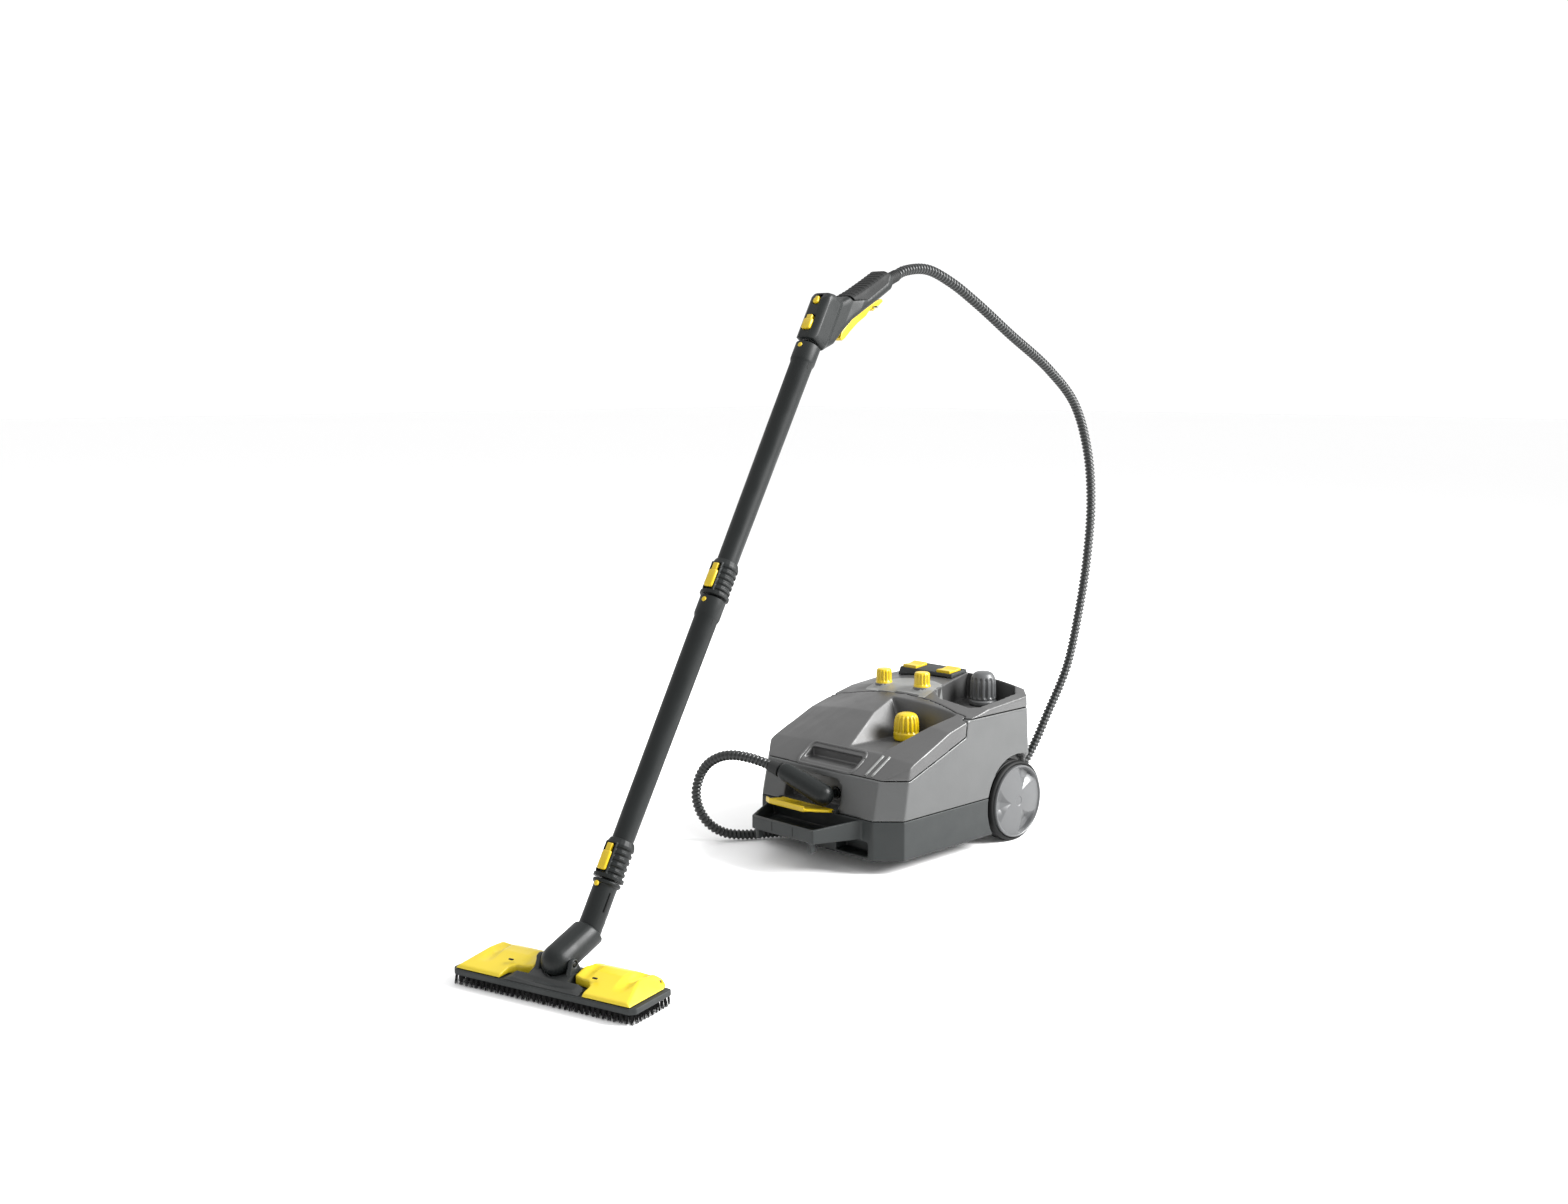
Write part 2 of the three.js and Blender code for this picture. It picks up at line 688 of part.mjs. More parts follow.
const casterWheelY = CASTER_Y + CASTER_TRAIL;
function casterFork() {
  const cheek = (x0, x1) => box(x0, x1, casterWheelY - 8, casterWheelY + 8, CASTER_RADIUS - 8, 41);
  const outerX = CASTER_WIDTH / 2 + 1 + 3;
  const crown = box(-outerX, outerX, casterWheelY - 24, casterWheelY + 8, 38, 41);
  const pin = cylinder(CASTER_PIN_RADIUS, 40, CASTER_TOP + WALL + 5, 0, CASTER_Y);
  const body = join(crown, cheek(-outerX, -outerX + 3), cheek(outerX - 3, outerX), pin);
  return cut(body, barX(3 + GAP, -REACH, REACH, casterWheelY, CASTER_RADIUS));
}
add('caster_fork', casterFork(), COLOURS.steel);
add('caster_axle', barX(3, -14, 14, casterWheelY, CASTER_RADIUS), COLOURS.steel);
const casterWheel = cut(
  barX(CASTER_RADIUS, -CASTER_WIDTH / 2, CASTER_WIDTH / 2, casterWheelY, CASTER_RADIUS, 36),
  barX(3 + GAP, -REACH, REACH, casterWheelY, CASTER_RADIUS),
);
add('caster_wheel', casterWheel, COLOURS.rubber);

// ---------------------------------------------------------------- caps and knobs

// A fluted cap, round at the top, standing at a height with its axis along Z.
function flutedCap(radius, height, flutes, fluteRadius, z) {
  const profile = [
    [0, 0],
    [radius, 0],
    [radius, height * 0.16],
    [radius * 0.95, height * 0.82],
    [radius * 0.8, height * 0.95],
    [radius * 0.5, height],
    [0, height],
  ];
  let cap = turned(profile, 0, 0, 36);
  for (let i = 0; i < flutes; i += 1) {
    const angle = (i * 2 * Math.PI) / flutes;
    const reach = radius * 1.02;
    const flute = cylinder(fluteRadius, height * 0.16, height * 1.2, Math.cos(angle) * reach,
      Math.sin(angle) * reach, 8);
    cap = cap.subtract(flute);
  }
  return moved(cap, [0, 0, z]);
}

// A screw cap over a neck: the cap turns and the insert below it carries the seal. The place is
// the neck's axis and the height of the floor around it.
function screwCap([name, insertName], [x, y, floor], [radius, height, neckRadius], colours) {
  const bottom = floor + GAP;
  const neckTop = floor + NECK_RISE;
  const cap = cut(
    flutedCap(radius, height, 12, 2.6, bottom),
    cylinder(neckRadius + GAP, bottom - 5, neckTop + GAP + 7),
  );
  const sealTop = neckTop + GAP + 6.6;
  const insert = join(
    cylinder(neckRadius - 1, neckTop + GAP, sealTop),
    cylinder(neckRadius - 4 - 2 * GAP, neckTop - 8, neckTop + GAP + 1),
  );
  add(name, moved(cap, [x, y, 0]), colours[0]);
  add(insertName, moved(insert, [x, y, 0]), colours[1]);
}
screwCap(
  ['boiler_cap', 'boiler_cap_seal'],
  [BOILER_X, BOILER_Y, RECESS_FLOOR],
  [CAP_RADIUS, CAP_HEIGHT, NECK_RADIUS],
  [COLOURS.yellow, COLOURS.brass],
);
screwCap(
  ['tank_cap', 'tank_cap_seal'],
  [TANK_CAP_X, TANK_CAP_Y, BASIN_FLOOR],
  [TANK_CAP_RADIUS, TANK_CAP_HEIGHT, TANK_NECK_RADIUS],
  [COLOURS.capGrey, COLOURS.rubber],
);

for (const [name, x] of knobs) {
  const base = knobBase(x);
  const spindle = cylinder(KNOB_SPINDLE, base - 16, base + 4, x, KNOB_Y);
  const knob = moved(flutedCap(KNOB_RADIUS, KNOB_HEIGHT - 4, 10, 2, base), [x, KNOB_Y, 0]);
  add(name, join(knob, spindle), COLOURS.yellow);
}

// ---------------------------------------------------------------- switches

const SWITCH_X0 = -108;
const SWITCH_X1 = 20;
const SWITCH_TOP = 268;
function switchBlock() {
  const outline = [[SWITCH_X0, 148], [SWITCH_X1, 148], [SWITCH_X1 - 4, 202], [SWITCH_X0 + 4, 202]];
  const low = outline.map((p) => [...p, RIM_Z + 10]);
  const high = inset(outline, 5).map((p) => [...p, SWITCH_TOP - 4 * (p[1] < 160 ? 1 : 0)]);
  const block = hull([...low, ...high]);
  const wells = rockers.map(([, x]) =>
    box(x - ROCKER_WIDTH / 2 - GAP, x + ROCKER_WIDTH / 2 + GAP, ROCKER_Y - ROCKER_LENGTH / 2 - 2 * GAP,
      ROCKER_Y + ROCKER_LENGTH / 2 + 2 * GAP, 200, REACH));
  return cut(block, bodySolid(-GAP), ...wells);
}
add('switch_block', switchBlock(), COLOURS.darkGrey);

const ROCKER_AXIS_Z = SWITCH_TOP - 8;
for (const [name, x] of rockers) {
  const half = ROCKER_LENGTH / 2;
  const top = SWITCH_TOP + 2;
  const profile = [
    [ROCKER_Y - half + 1.5, ROCKER_AXIS_Z + 1],
    [ROCKER_Y - 5, ROCKER_AXIS_Z - 7],
    [ROCKER_Y + 5, ROCKER_AXIS_Z - 7],
    [ROCKER_Y + half - 1.5, ROCKER_AXIS_Z + 1],
    [ROCKER_Y + half - 1.5, top + 1.5],
    [ROCKER_Y, top - 2],
    [ROCKER_Y - half + 1.5, top - 1.5],
  ];
  add(name, side(profile, x - ROCKER_WIDTH / 2, x + ROCKER_WIDTH / 2), COLOURS.yellow);
}

// ---------------------------------------------------------------- socket flap

const FLAP_AXIS_Y = -BODY_FRONT - 6;
const FLAP_AXIS_Z = TUB_TOP + 4;
const FLAP_LENGTH = 40;
const FLAP_X0 = -70;
const FLAP_X1 = 44;
function flap() {
  const leaf = plan(
    [[FLAP_X0 - 6, -FLAP_LENGTH + 8], [FLAP_X0 + 10, -FLAP_LENGTH], [FLAP_X1 - 26, -FLAP_LENGTH],
      [FLAP_X1, -10], [FLAP_X1, 2], [FLAP_X0, 2]],
    -2,
    2,
  );
  const lip = plan(
    [[FLAP_X0 - 6, -FLAP_LENGTH + 8], [FLAP_X0 + 10, -FLAP_LENGTH], [FLAP_X1 - 26, -FLAP_LENGTH],
      [FLAP_X1 - 28, -FLAP_LENGTH + 3], [FLAP_X0 + 11, -FLAP_LENGTH + 3], [FLAP_X0 - 3, -FLAP_LENGTH + 9]],
    -3,
    6,
  );
  const barrel = barX(3.4, FLAP_X0, FLAP_X1, 0, 0, 16);
  const bored = cut(join(leaf, lip, barrel), barX(1.8 + GAP, -REACH, REACH, 0, 0, 12));
  return moved(bored, [0, FLAP_AXIS_Y, FLAP_AXIS_Z], -5);
}
add('socket_flap', flap(), COLOURS.yellow);
function flapPin() {
  const rod = barX(1.8, FLAP_X0 - 8, FLAP_X1 + 8, FLAP_AXIS_Y, FLAP_AXIS_Z, 12);
  const foot = (x) => box(x, x + 4, FLAP_AXIS_Y - 3, -BODY_FRONT - GAP, FLAP_AXIS_Z - 2, FLAP_AXIS_Z + 3);
  return join(rod, foot(FLAP_X0 - 8), foot(FLAP_X1 + 4));
}
add('flap_pin', flapPin(), COLOURS.darkGrey);

// ---------------------------------------------------------------- hose plug and hose

// A run of balls joined by their hull, each given as x, y, z and radius.
function ballHull(balls, detail = 2) {
  const points = [];
  for (const [x, y, z, radius] of balls) {
    const ball = new THREE.IcosahedronGeometry(radius, detail).attributes.position;
    for (let i = 0; i < ball.count; i += 1) {
      points.push([x + ball.getX(i), y + ball.getY(i), z + ball.getZ(i)]);
    }
  }
  return hull(points);
}

const route = [
  [-70, -198, 149],
  [-89.1, -201.8, 153.5],
  [-113, -208, 157],
  [-140, -216, 157.5],
  [-165, -223, 151],
  [-188, -229, 135.5],
  [-203, -233, 112],
  [-209, -235, 83.5],
  [-206, -230, 55.5],
  [-197, -217, 31.5],
  [-184, -197, 15.6],
  [-168, -173, 10],
  [-141, -131, 10],
  [-114, -84, 10],
  [-92, -35, 10],
  [-72, 25, 10],
  [-48, 115, 10],
  [-24, 215, 10],
  [-4, 300, 22],
  [14, 366, 78],
  [22, 425, 165],
  [28, 468, 240],
  [33, 492, 330],
  [38, 509, 437],
  [42, 512, 546],
  [46, 491, 638],
  [50, 444, 720],
  [55, 358, 782],
  [58, 240, 842],
  [60, 150, 889],
  [61, 80, 921],
  [62, 20, 938],
];
const hoseStart = new THREE.Vector3(...route[0]);

function tubeAlong(points, radius, sides, steps) {
  const curve = new THREE.CatmullRomCurve3(points, false, 'centripetal');
  const section = new THREE.Shape();
  for (let i = 0; i < sides; i += 1) {
    const angle = (i * 2 * Math.PI) / sides;
    const point = [Math.cos(angle) * radius, Math.sin(angle) * radius];
    if (i === 0) section.moveTo(...point);
    else section.lineTo(...point);
  }
  section.closePath();
  return toSolid(new THREE.ExtrudeGeometry(section, { steps, bevelEnabled: false, extrudePath: curve }));
}

// A tapered sleeve from one point to another, with a bore for the hose.
function taperedSleeve(from, to, radius, endRadius) {
  const length = from.distanceTo(to);
  const geometry = new THREE.CylinderGeometry(endRadius, radius, length, 20);
  const direction = to.clone().sub(from).normalize();
  const turn = new THREE.Quaternion().setFromUnitVectors(new THREE.Vector3(0, 1, 0), direction);
  geometry.applyQuaternion(turn);
  geometry.translate(...from.clone().add(to).multiplyScalar(0.5).toArray());
  return toSolid(geometry);
}

const PLUG_BACK = [SOCKET_X + 6, -BODY_FRONT - 11, SOCKET_Z + 4, 18];
const PLUG_TAIL = [-40, -192, 142, 15];
const plugTailEnd = new THREE.Vector3(...PLUG_TAIL.slice(0, 3));
const tailDirection = hoseStart.clone().sub(plugTailEnd).normalize();
const plug = join(
  ballHull([PLUG_BACK, PLUG_TAIL]),
  barY(6, -BODY_FRONT - 4, POCKET_REAR + 12, SOCKET_X, SOCKET_Z, 20),
);
const plugFace = plugTailEnd.clone().addScaledVector(tailDirection, 12);
const plugCutEnd = plugFace.clone().addScaledVector(tailDirection, 60);
const plugCut = taperedSleeve(plugFace, plugCutEnd, 30, 30);
add('steam_plug', cut(plug, plugCut), COLOURS.black);
const reliefStart = plugFace.clone().addScaledVector(tailDirection, GAP);
const reliefEnd = hoseStart.clone().addScaledVector(tailDirection, -GAP);
const plugRelief = taperedSleeve(reliefStart, reliefEnd, RELIEF_RADIUS, HOSE_RADIUS + 1.5);
add('hose_relief_plug', plugRelief, COLOURS.rubber);

// ---------------------------------------------------------------- wand

const tool = new THREE.Group();
tool.position.set(TOOL_X, TOOL_Y, 0);
tool.rotation.z = THREE.MathUtils.degToRad(TOOL_YAW);
scene.add(tool);
tool.updateMatrixWorld();

const rise = THREE.MathUtils.degToRad(ELBOW_RISE);
const swivelPoint = new THREE.Vector3(
  0,
  PIVOT_Y + ELBOW_LENGTH * Math.cos(rise),
  PIVOT_Z + ELBOW_LENGTH * Math.sin(rise),
);
const wandAzimuth = new THREE.Group();
wandAzimuth.position.copy(swivelPoint.clone().applyMatrix4(tool.matrixWorld));
wandAzimuth.rotation.z = THREE.MathUtils.degToRad(WAND_AZIMUTH);
const wand = new THREE.Group();
wand.rotation.x = -THREE.MathUtils.degToRad(WAND_LEAN);
wandAzimuth.add(wand);
scene.add(wandAzimuth);
wandAzimuth.updateMatrixWorld(true);

const COUPLINGS = [NECK_LENGTH, NECK_LENGTH + TUBE_PITCH, NECK_LENGTH + 2 * TUBE_PITCH];

// A tube from the coupling below to the one above; its lower end carries a spigot.
function wandTube(bottom, top) {
  const start = bottom + 2;
  const end = top - GAP;
  return turned([
    [TUBE_BORE - 1.5, start - SPIGOT_LENGTH],
    [TUBE_BORE - GAP, start - SPIGOT_LENGTH],
    [TUBE_BORE - GAP, start],
    [TUBE_END_RADIUS, start],
    [TUBE_END_RADIUS, start + COLLAR_LENGTH],
    [TUBE_TOP_RADIUS - 0.6, end - 30],
    [TUBE_TOP_RADIUS + 1.2, end - 26],
    [TUBE_TOP_RADIUS + 1.2, end],
    [TUBE_BORE, end],
    [TUBE_BORE, end - SPIGOT_LENGTH - 4],
    [TUBE_BORE - 1.5, end - SPIGOT_LENGTH - 6],
    [TUBE_BORE - 1.5, start - SPIGOT_LENGTH],
  ]);
}

// The ribbed collar round a tube's lower end, with a window for its release button.
function collar(bottom) {
  const start = bottom + 2;
  const seat = TUBE_END_RADIUS + GAP;
  const profile = [[seat, start], [COLLAR_RADIUS + 1.5, start], [COLLAR_RADIUS + 1.5, start + 5]];
  const pitch = (COLLAR_LENGTH - 12) / 5;
  for (let i = 0; i < 5; i += 1) {
    const z = start + 5 + i * pitch;
    profile.push([COLLAR_RADIUS - 2, z + 0.5], [COLLAR_RADIUS - 2, z + pitch * 0.4]);
    profile.push([COLLAR_RADIUS, z + pitch * 0.5], [COLLAR_RADIUS, z + pitch * 0.95]);
  }
  profile.push([TUBE_END_RADIUS + 2, start + COLLAR_LENGTH], [seat, start + COLLAR_LENGTH], [seat, start]);
  const body = turned(profile, 0, 0, 20);
  const window = box(-7.5, 7.5, -30, -TUBE_END_RADIUS - GAP, start + 8, start + 45);
  return join(cut(body, window), box(-9.5, -7.5, -19.6, -16, start + 6, start + 47),
    box(7.5, 9.5, -19.6, -16, start + 6, start + 47));
}

function releaseButton(bottom) {
  const start = bottom + 2 + 8 + GAP;
  const seat = -TUBE_END_RADIUS - 2.4;
  const pad = side([[seat, start], [seat, start + 24], [-22.5, start + 22], [-23, start + 4], [-21, start]],
    -7.5 + GAP, 7.5 - GAP);
  const tab = box(-4, 4, -20.5, seat, start + 23, start + 36);
  return join(pad, tab);
}

addTo(wand, 'upper_tube', wandTube(COUPLINGS[1], COUPLINGS[2]), COLOURS.black);
addTo(wand, 'lower_tube', wandTube(COUPLINGS[0], COUPLINGS[1]), COLOURS.black);
addTo(wand, 'upper_collar', collar(COUPLINGS[1]), COLOURS.black);
addTo(wand, 'lower_collar', collar(COUPLINGS[0]), COLOURS.black);
addTo(wand, 'upper_release_button', releaseButton(COUPLINGS[1]), COLOURS.yellow);
addTo(wand, 'lower_release_button', releaseButton(COUPLINGS[0]), COLOURS.yellow);

// ---------------------------------------------------------------- neck and elbow

// The swivel's axis halves the angle between the elbow and the wand, in the tool's upright plane.
const wandInverse = wand.matrixWorld.clone().invert();
const toolToWand = wandInverse.clone().multiply(tool.matrixWorld);
const elbowAxis = new THREE.Vector3(0, Math.cos(rise), Math.sin(rise)).transformDirection(toolToWand);
const swivelAxis = elbowAxis.clone().add(new THREE.Vector3(0, 0, 1)).normalize();

// A half space, as a wide slab on one side of a plane through a point.
function halfSpace(point, axis, offset) {
  const geometry = new THREE.BoxGeometry(200, 200, 200);
  geometry.translate(0, 0, 100 + offset);
  const turn = new THREE.Quaternion().setFromUnitVectors(new THREE.Vector3(0, 0, 1), axis);
  geometry.applyQuaternion(turn);
  geometry.translate(...point.toArray());
  return toSolid(geometry);
}

function along(geometry, point, axis) {
  geometry.rotateX(Math.PI / 2);
  geometry.applyQuaternion(new THREE.Quaternion().setFromUnitVectors(new THREE.Vector3(0, 0, 1), axis));
  geometry.translate(...point.toArray());
  return toSolid(geometry);
}

function toolNeck() {
  const top = NECK_LENGTH - GAP;
  const radius = TUBE_END_RADIUS + 1.6;
  const tube = turned([[0, -30], [radius, -30], [radius, top - 6], [TUBE_TOP_RADIUS + 2, top - 4],
    [TUBE_TOP_RADIUS + 2, top], [0, top]]);
  const upperHalf = halfSpace(new THREE.Vector3(), swivelAxis, GAP / 2);
  const spigotShape = new THREE.CylinderGeometry(8, 8, 20, 24);
  const spigot = along(spigotShape, swivelAxis.clone().multiplyScalar(-6), swivelAxis);
  const hook = box(-3, 3, radius + 3, radius + 6, -2, 34);
  const hookRoot = box(-3, 3, radius - 2, radius + 5, 8, 13);
  const bore = cylinder(TUBE_BORE, top - SPIGOT_LENGTH - 4, top + 5);
  return cut(join(tube.intersect(upperHalf), spigot, hook, hookRoot), bore);
}
addTo(wand, 'tool_neck', toolNeck(), COLOURS.black);

const wandToTool = toolToWand.clone().invert();
const swivelAxisInTool = swivelAxis.clone().transformDirection(wandToTool);
const JOURNAL_RADIUS = 4;
function elbow() {
  const pivot = [0, PIVOT_Y, PIVOT_Z];
  const beyond = ELBOW_LENGTH + 30;
  const far = [0, PIVOT_Y + beyond * Math.cos(rise), PIVOT_Z + beyond * Math.sin(rise)];
  const capsule = ballHull([[...pivot, ELBOW_RADIUS], [...far, ELBOW_RADIUS]], 3);
  const upper = halfSpace(swivelPoint, swivelAxisInTool, -GAP / 2);
  const socketCentre = swivelPoint.clone().addScaledVector(swivelAxisInTool, -8);
  const socket = along(new THREE.CylinderGeometry(8 + GAP, 8 + GAP, 20, 24), socketCentre, swivelAxisInTool);
  const journalReach = ELBOW_RADIUS + 7;
  const journals = barX(JOURNAL_RADIUS, -journalReach, journalReach, PIVOT_Y, PIVOT_Z, 20);
  return join(cut(capsule, upper, socket), journals);
}
addTo(tool, 'elbow', elbow(), COLOURS.black);

// ---------------------------------------------------------------- floor tool

const PLATE_TOP = PLATE_BOTTOM + PLATE_THICKNESS;
const HALF_LENGTH = PLATE_LENGTH / 2;
const HALF_WIDTH = PLATE_WIDTH / 2;
const SADDLE_HALF = 62;
const CLIP_PIN_Y = HALF_WIDTH - 8;
const CLIP_PIN_Z = PLATE_TOP + 7;
const CLIP_PIN_RADIUS = 2;
const CHEEK_X = ELBOW_RADIUS + GAP; // inner face of the cheeks that hold the elbow
const CHEEK_THICKNESS = 7;
const PIN_BLOCK_X = CHEEK_X + CHEEK_THICKNESS + 1.7; // the blocks that hold the clip pins
const PIN_BLOCK_WIDTH = 4;

function toolPlate() {
  const corner = 7;
  const right = [
    [HALF_LENGTH - corner, -HALF_WIDTH],
    [HALF_LENGTH, -HALF_WIDTH + corner],
    [HALF_LENGTH, HALF_WIDTH - corner],
    [HALF_LENGTH - corner, HALF_WIDTH],
  ];
  const outline = [...right, ...mirrored(right)];
  const skirt = plan(outline, PLATE_BOTTOM, PLATE_TOP);
  const boss = JOURNAL_RADIUS + 3;
  const cheek = (x0) => {
    const top = [];
    for (let i = 0; i <= 8; i += 1) {
      const angle = (i * Math.PI) / 8;
      top.push([PIVOT_Y + boss * Math.cos(angle), PIVOT_Z + boss * Math.sin(angle)]);
    }
    const foot = [[PIVOT_Y - 16, PLATE_TOP - 1], [PIVOT_Y + 22, PLATE_TOP - 1]];
    return side([...foot, ...top], x0, x0 + CHEEK_THICKNESS);
  };
  const saddle = hull([
    [-SADDLE_HALF, -HALF_WIDTH + 2, PLATE_TOP - 1],
    [SADDLE_HALF, -HALF_WIDTH + 2, PLATE_TOP - 1],
    [-40, -HALF_WIDTH + 16, PLATE_TOP + 6],
    [40, -HALF_WIDTH + 16, PLATE_TOP + 6],
    [-28, -HALF_WIDTH + 22, PLATE_TOP - 1],
    [28, -HALF_WIDTH + 22, PLATE_TOP - 1],
  ]);
  const sweep = ballHull([[0, PIVOT_Y, PIVOT_Z, ELBOW_RADIUS + 0.8]], 3);
  const blockOuter = PIN_BLOCK_X + PIN_BLOCK_WIDTH;
  const blockFront = CLIP_PIN_Y - 5;
  const well = box(blockOuter, HALF_LENGTH - 4, blockFront, HALF_WIDTH + 5, PLATE_TOP - 2, PLATE_TOP + 20);
  const wells = join(well, acrossMiddle(well));
  const pinBlock = box(PIN_BLOCK_X, blockOuter, blockFront, CLIP_PIN_Y + 5, PLATE_TOP - 1, CLIP_PIN_Z + 4);
  const body = join(
    cut(skirt, wells),
    cheek(CHEEK_X),
    cheek(-CHEEK_X - CHEEK_THICKNESS),
    saddle,
    pinBlock,
    acrossMiddle(pinBlock),
  );
  const journalReach = CHEEK_X + CHEEK_THICKNESS;
  return cut(
    body,
    sweep,
    barX(JOURNAL_RADIUS + GAP, -journalReach, journalReach, PIVOT_Y, PIVOT_Z, 20),
    barX(CLIP_PIN_RADIUS + GAP, -REACH, REACH, CLIP_PIN_Y, CLIP_PIN_Z, 12),
    box(-HALF_LENGTH + 16, HALF_LENGTH - 16, -HALF_WIDTH + 16, HALF_WIDTH - 16, 0, PLATE_BOTTOM + 4),
  );
}
addTo(tool, 'tool_plate', toolPlate(), COLOURS.darkGrey);

const bristleRing = cut(
  box(-HALF_LENGTH + 2, HALF_LENGTH - 2, -HALF_WIDTH + 2, HALF_WIDTH - 2, 0, PLATE_BOTTOM - GAP),
  box(-HALF_LENGTH + 15, HALF_LENGTH - 15, -HALF_WIDTH + 15, HALF_WIDTH - 15, -5, PLATE_BOTTOM + 5),
);
addTo(tool, 'bristle_ring', bristleRing, COLOURS.rubber);

// A clip holds the cloth down along the front and opens about a pin along its rear edge.
function clip(sign) {
  const low = PLATE_TOP + GAP;
  const profile = [
    [-HALF_WIDTH + 1, low],
    [HALF_WIDTH - 14, low],
    [HALF_WIDTH - 4, CLIP_PIN_Z - 4.5],
    [HALF_WIDTH - 2, CLIP_PIN_Z + 2],
    [HALF_WIDTH - 9, CLIP_TOP - 4],
    [HALF_WIDTH - 22, CLIP_TOP],
    [4, CLIP_TOP - 1],
    [-HALF_WIDTH + 4, low + 5],
  ];
  const blank = side(profile, -HALF_LENGTH, HALF_LENGTH);
  const innerX = PIN_BLOCK_X + 2 + GAP;
  const outline = [
    [HALF_LENGTH - 1, -HALF_WIDTH - 1],
    [HALF_LENGTH - 1, HALF_WIDTH + 1],
    [PIN_BLOCK_X + 6, HALF_WIDTH + 1],
    [PIN_BLOCK_X + 6, 16],
    [innerX, 10],
    [innerX, -12],
    [SADDLE_HALF - 6, -16],
    [SADDLE_HALF + 2, -24],
    [SADDLE_HALF + 2, -HALF_WIDTH - 1],
  ];
  const shaped = blank.intersect(plan(sign > 0 ? outline : mirrored(outline), 0, 100));
  const endCut = hull(
    [[-1, 1], [1, 1], [1, -1], [-1, -1]].flatMap(([a, b]) => [
      [sign * (HALF_LENGTH + 20), a * 80, CLIP_TOP + 40 * b],
      [sign * (HALF_LENGTH - (b > 0 ? 70 : -18)), a * 80, CLIP_TOP + 40 * b],
    ]),
  );
  const dimple = ballHull([[sign * (HALF_LENGTH - 34), 30, CLIP_TOP + 14, 20], [sign * (HALF_LENGTH - 34), 4,
    CLIP_TOP + 18, 20]], 2);
  const pinHole = barX(CLIP_PIN_RADIUS + GAP, -REACH, REACH, CLIP_PIN_Y, CLIP_PIN_Z, 12);
  const room = side(inset(profile, 2.6), -HALF_LENGTH, HALF_LENGTH).intersect(
    plan(sign > 0 ? inset(outline, 3.4) : mirrored(inset(outline, 3.4)), 0, 100),
  );
  const open = join(room, moved(room, [0, 0, -3]));
  const keep = ballHull([[sign * (HALF_LENGTH - 34), 30, CLIP_TOP + 14, 23], [sign * (HALF_LENGTH - 34), 4,
    CLIP_TOP + 18, 23]], 2);
  const bars = box(-HALF_LENGTH, HALF_LENGTH, CLIP_PIN_Y - 4.5, HALF_WIDTH, 0, 100);
  return cut(shaped, endCut, dimple, cut(open, keep, bars, moved(endCut, [-3 * sign, 0, -3])), pinHole);
}
addTo(tool, 'left_clip', clip(1), COLOURS.yellow);
addTo(tool, 'right_clip', clip(-1), COLOURS.yellow);
function clipPin(sign) {
  const pin = barX(CLIP_PIN_RADIUS, PIN_BLOCK_X, HALF_LENGTH - 16, CLIP_PIN_Y, CLIP_PIN_Z, 12);
  return sign > 0 ? pin : acrossMiddle(pin);
}
addTo(tool, 'left_clip_pin', clipPin(1), COLOURS.steel);
addTo(tool, 'right_clip_pin', clipPin(-1), COLOURS.steel);

// ---------------------------------------------------------------- steam gun

const GUN_Z = COUPLINGS[2];
const GUN_HALF = 18;
const GUN_WALL = 2.5;
const GUN_BEVEL = 8; // rounding of the gun's long edges
const INSERT_DEPTH = 1.6; // how deep the soft insert is let in
const TRIGGER_PIN = [101, GUN_Z + 136];
const TRIGGER_PIN_RADIUS = 2;

const gunOutline = [
  [19, 4], [38, 28], [46, 54], [58, 84], [78, 116], [100, 150], [117, 178], [116, 190], [104, 199],
  [90, 193], [72, 165], [50, 132], [24, 98], [14, 88], [0, 90], [-13, 84], [-19, 70], [-19, 4],
].map(([y, w]) => [y, w + GUN_Z + GAP]);

// Shrinks any outline towards its inside, edge by edge.
const gunInner = inset(gunOutline, GUN_WALL);
const triggerSlot = [
  [28, 36], [36, 62], [50, 94], [74, 128], [94, 152], [116, 162], [116, 120], [80, 60], [60, 30],
].map(([y, w]) => [y, w + GUN_Z]);

// A slab of an outline with rounded edges.
function rounded(outline, half, bevel) {
  const shape = new THREE.Shape(outline.map((p) => new THREE.Vector2(...p)));
  const geometry = new THREE.ExtrudeGeometry(shape, {
    depth: 2 * (half - bevel),
    bevelEnabled: true,
    bevelThickness: bevel,
    bevelSize: bevel,
    bevelOffset: -bevel,
    bevelSegments: 3,
  });
  geometry.applyMatrix4(new THREE.Matrix4().set(0, 0, 1, -half + bevel, 1, 0, 0, 0, 0, 1, 0, 0, 0, 0, 0, 1));
  return toSolid(geometry);
}

const gunBody = cut(
  rounded(gunOutline, GUN_HALF, GUN_BEVEL),
  side(gunInner, -GUN_HALF + GUN_BEVEL, GUN_HALF - GUN_BEVEL),
  side(triggerSlot, -7, 7),
  cylinder(TUBE_BORE + 1, GUN_Z - 5, GUN_Z + 12),
  barX(TRIGGER_PIN_RADIUS + GAP, -GUN_HALF + 4, GUN_HALF - 4, ...TRIGGER_PIN, 14),
  box(-8, 8, -30, -10, GUN_Z + 18, GUN_Z + 42),
  box(-5, 5, -30, -10, GUN_Z + 62, GUN_Z + 80),
);

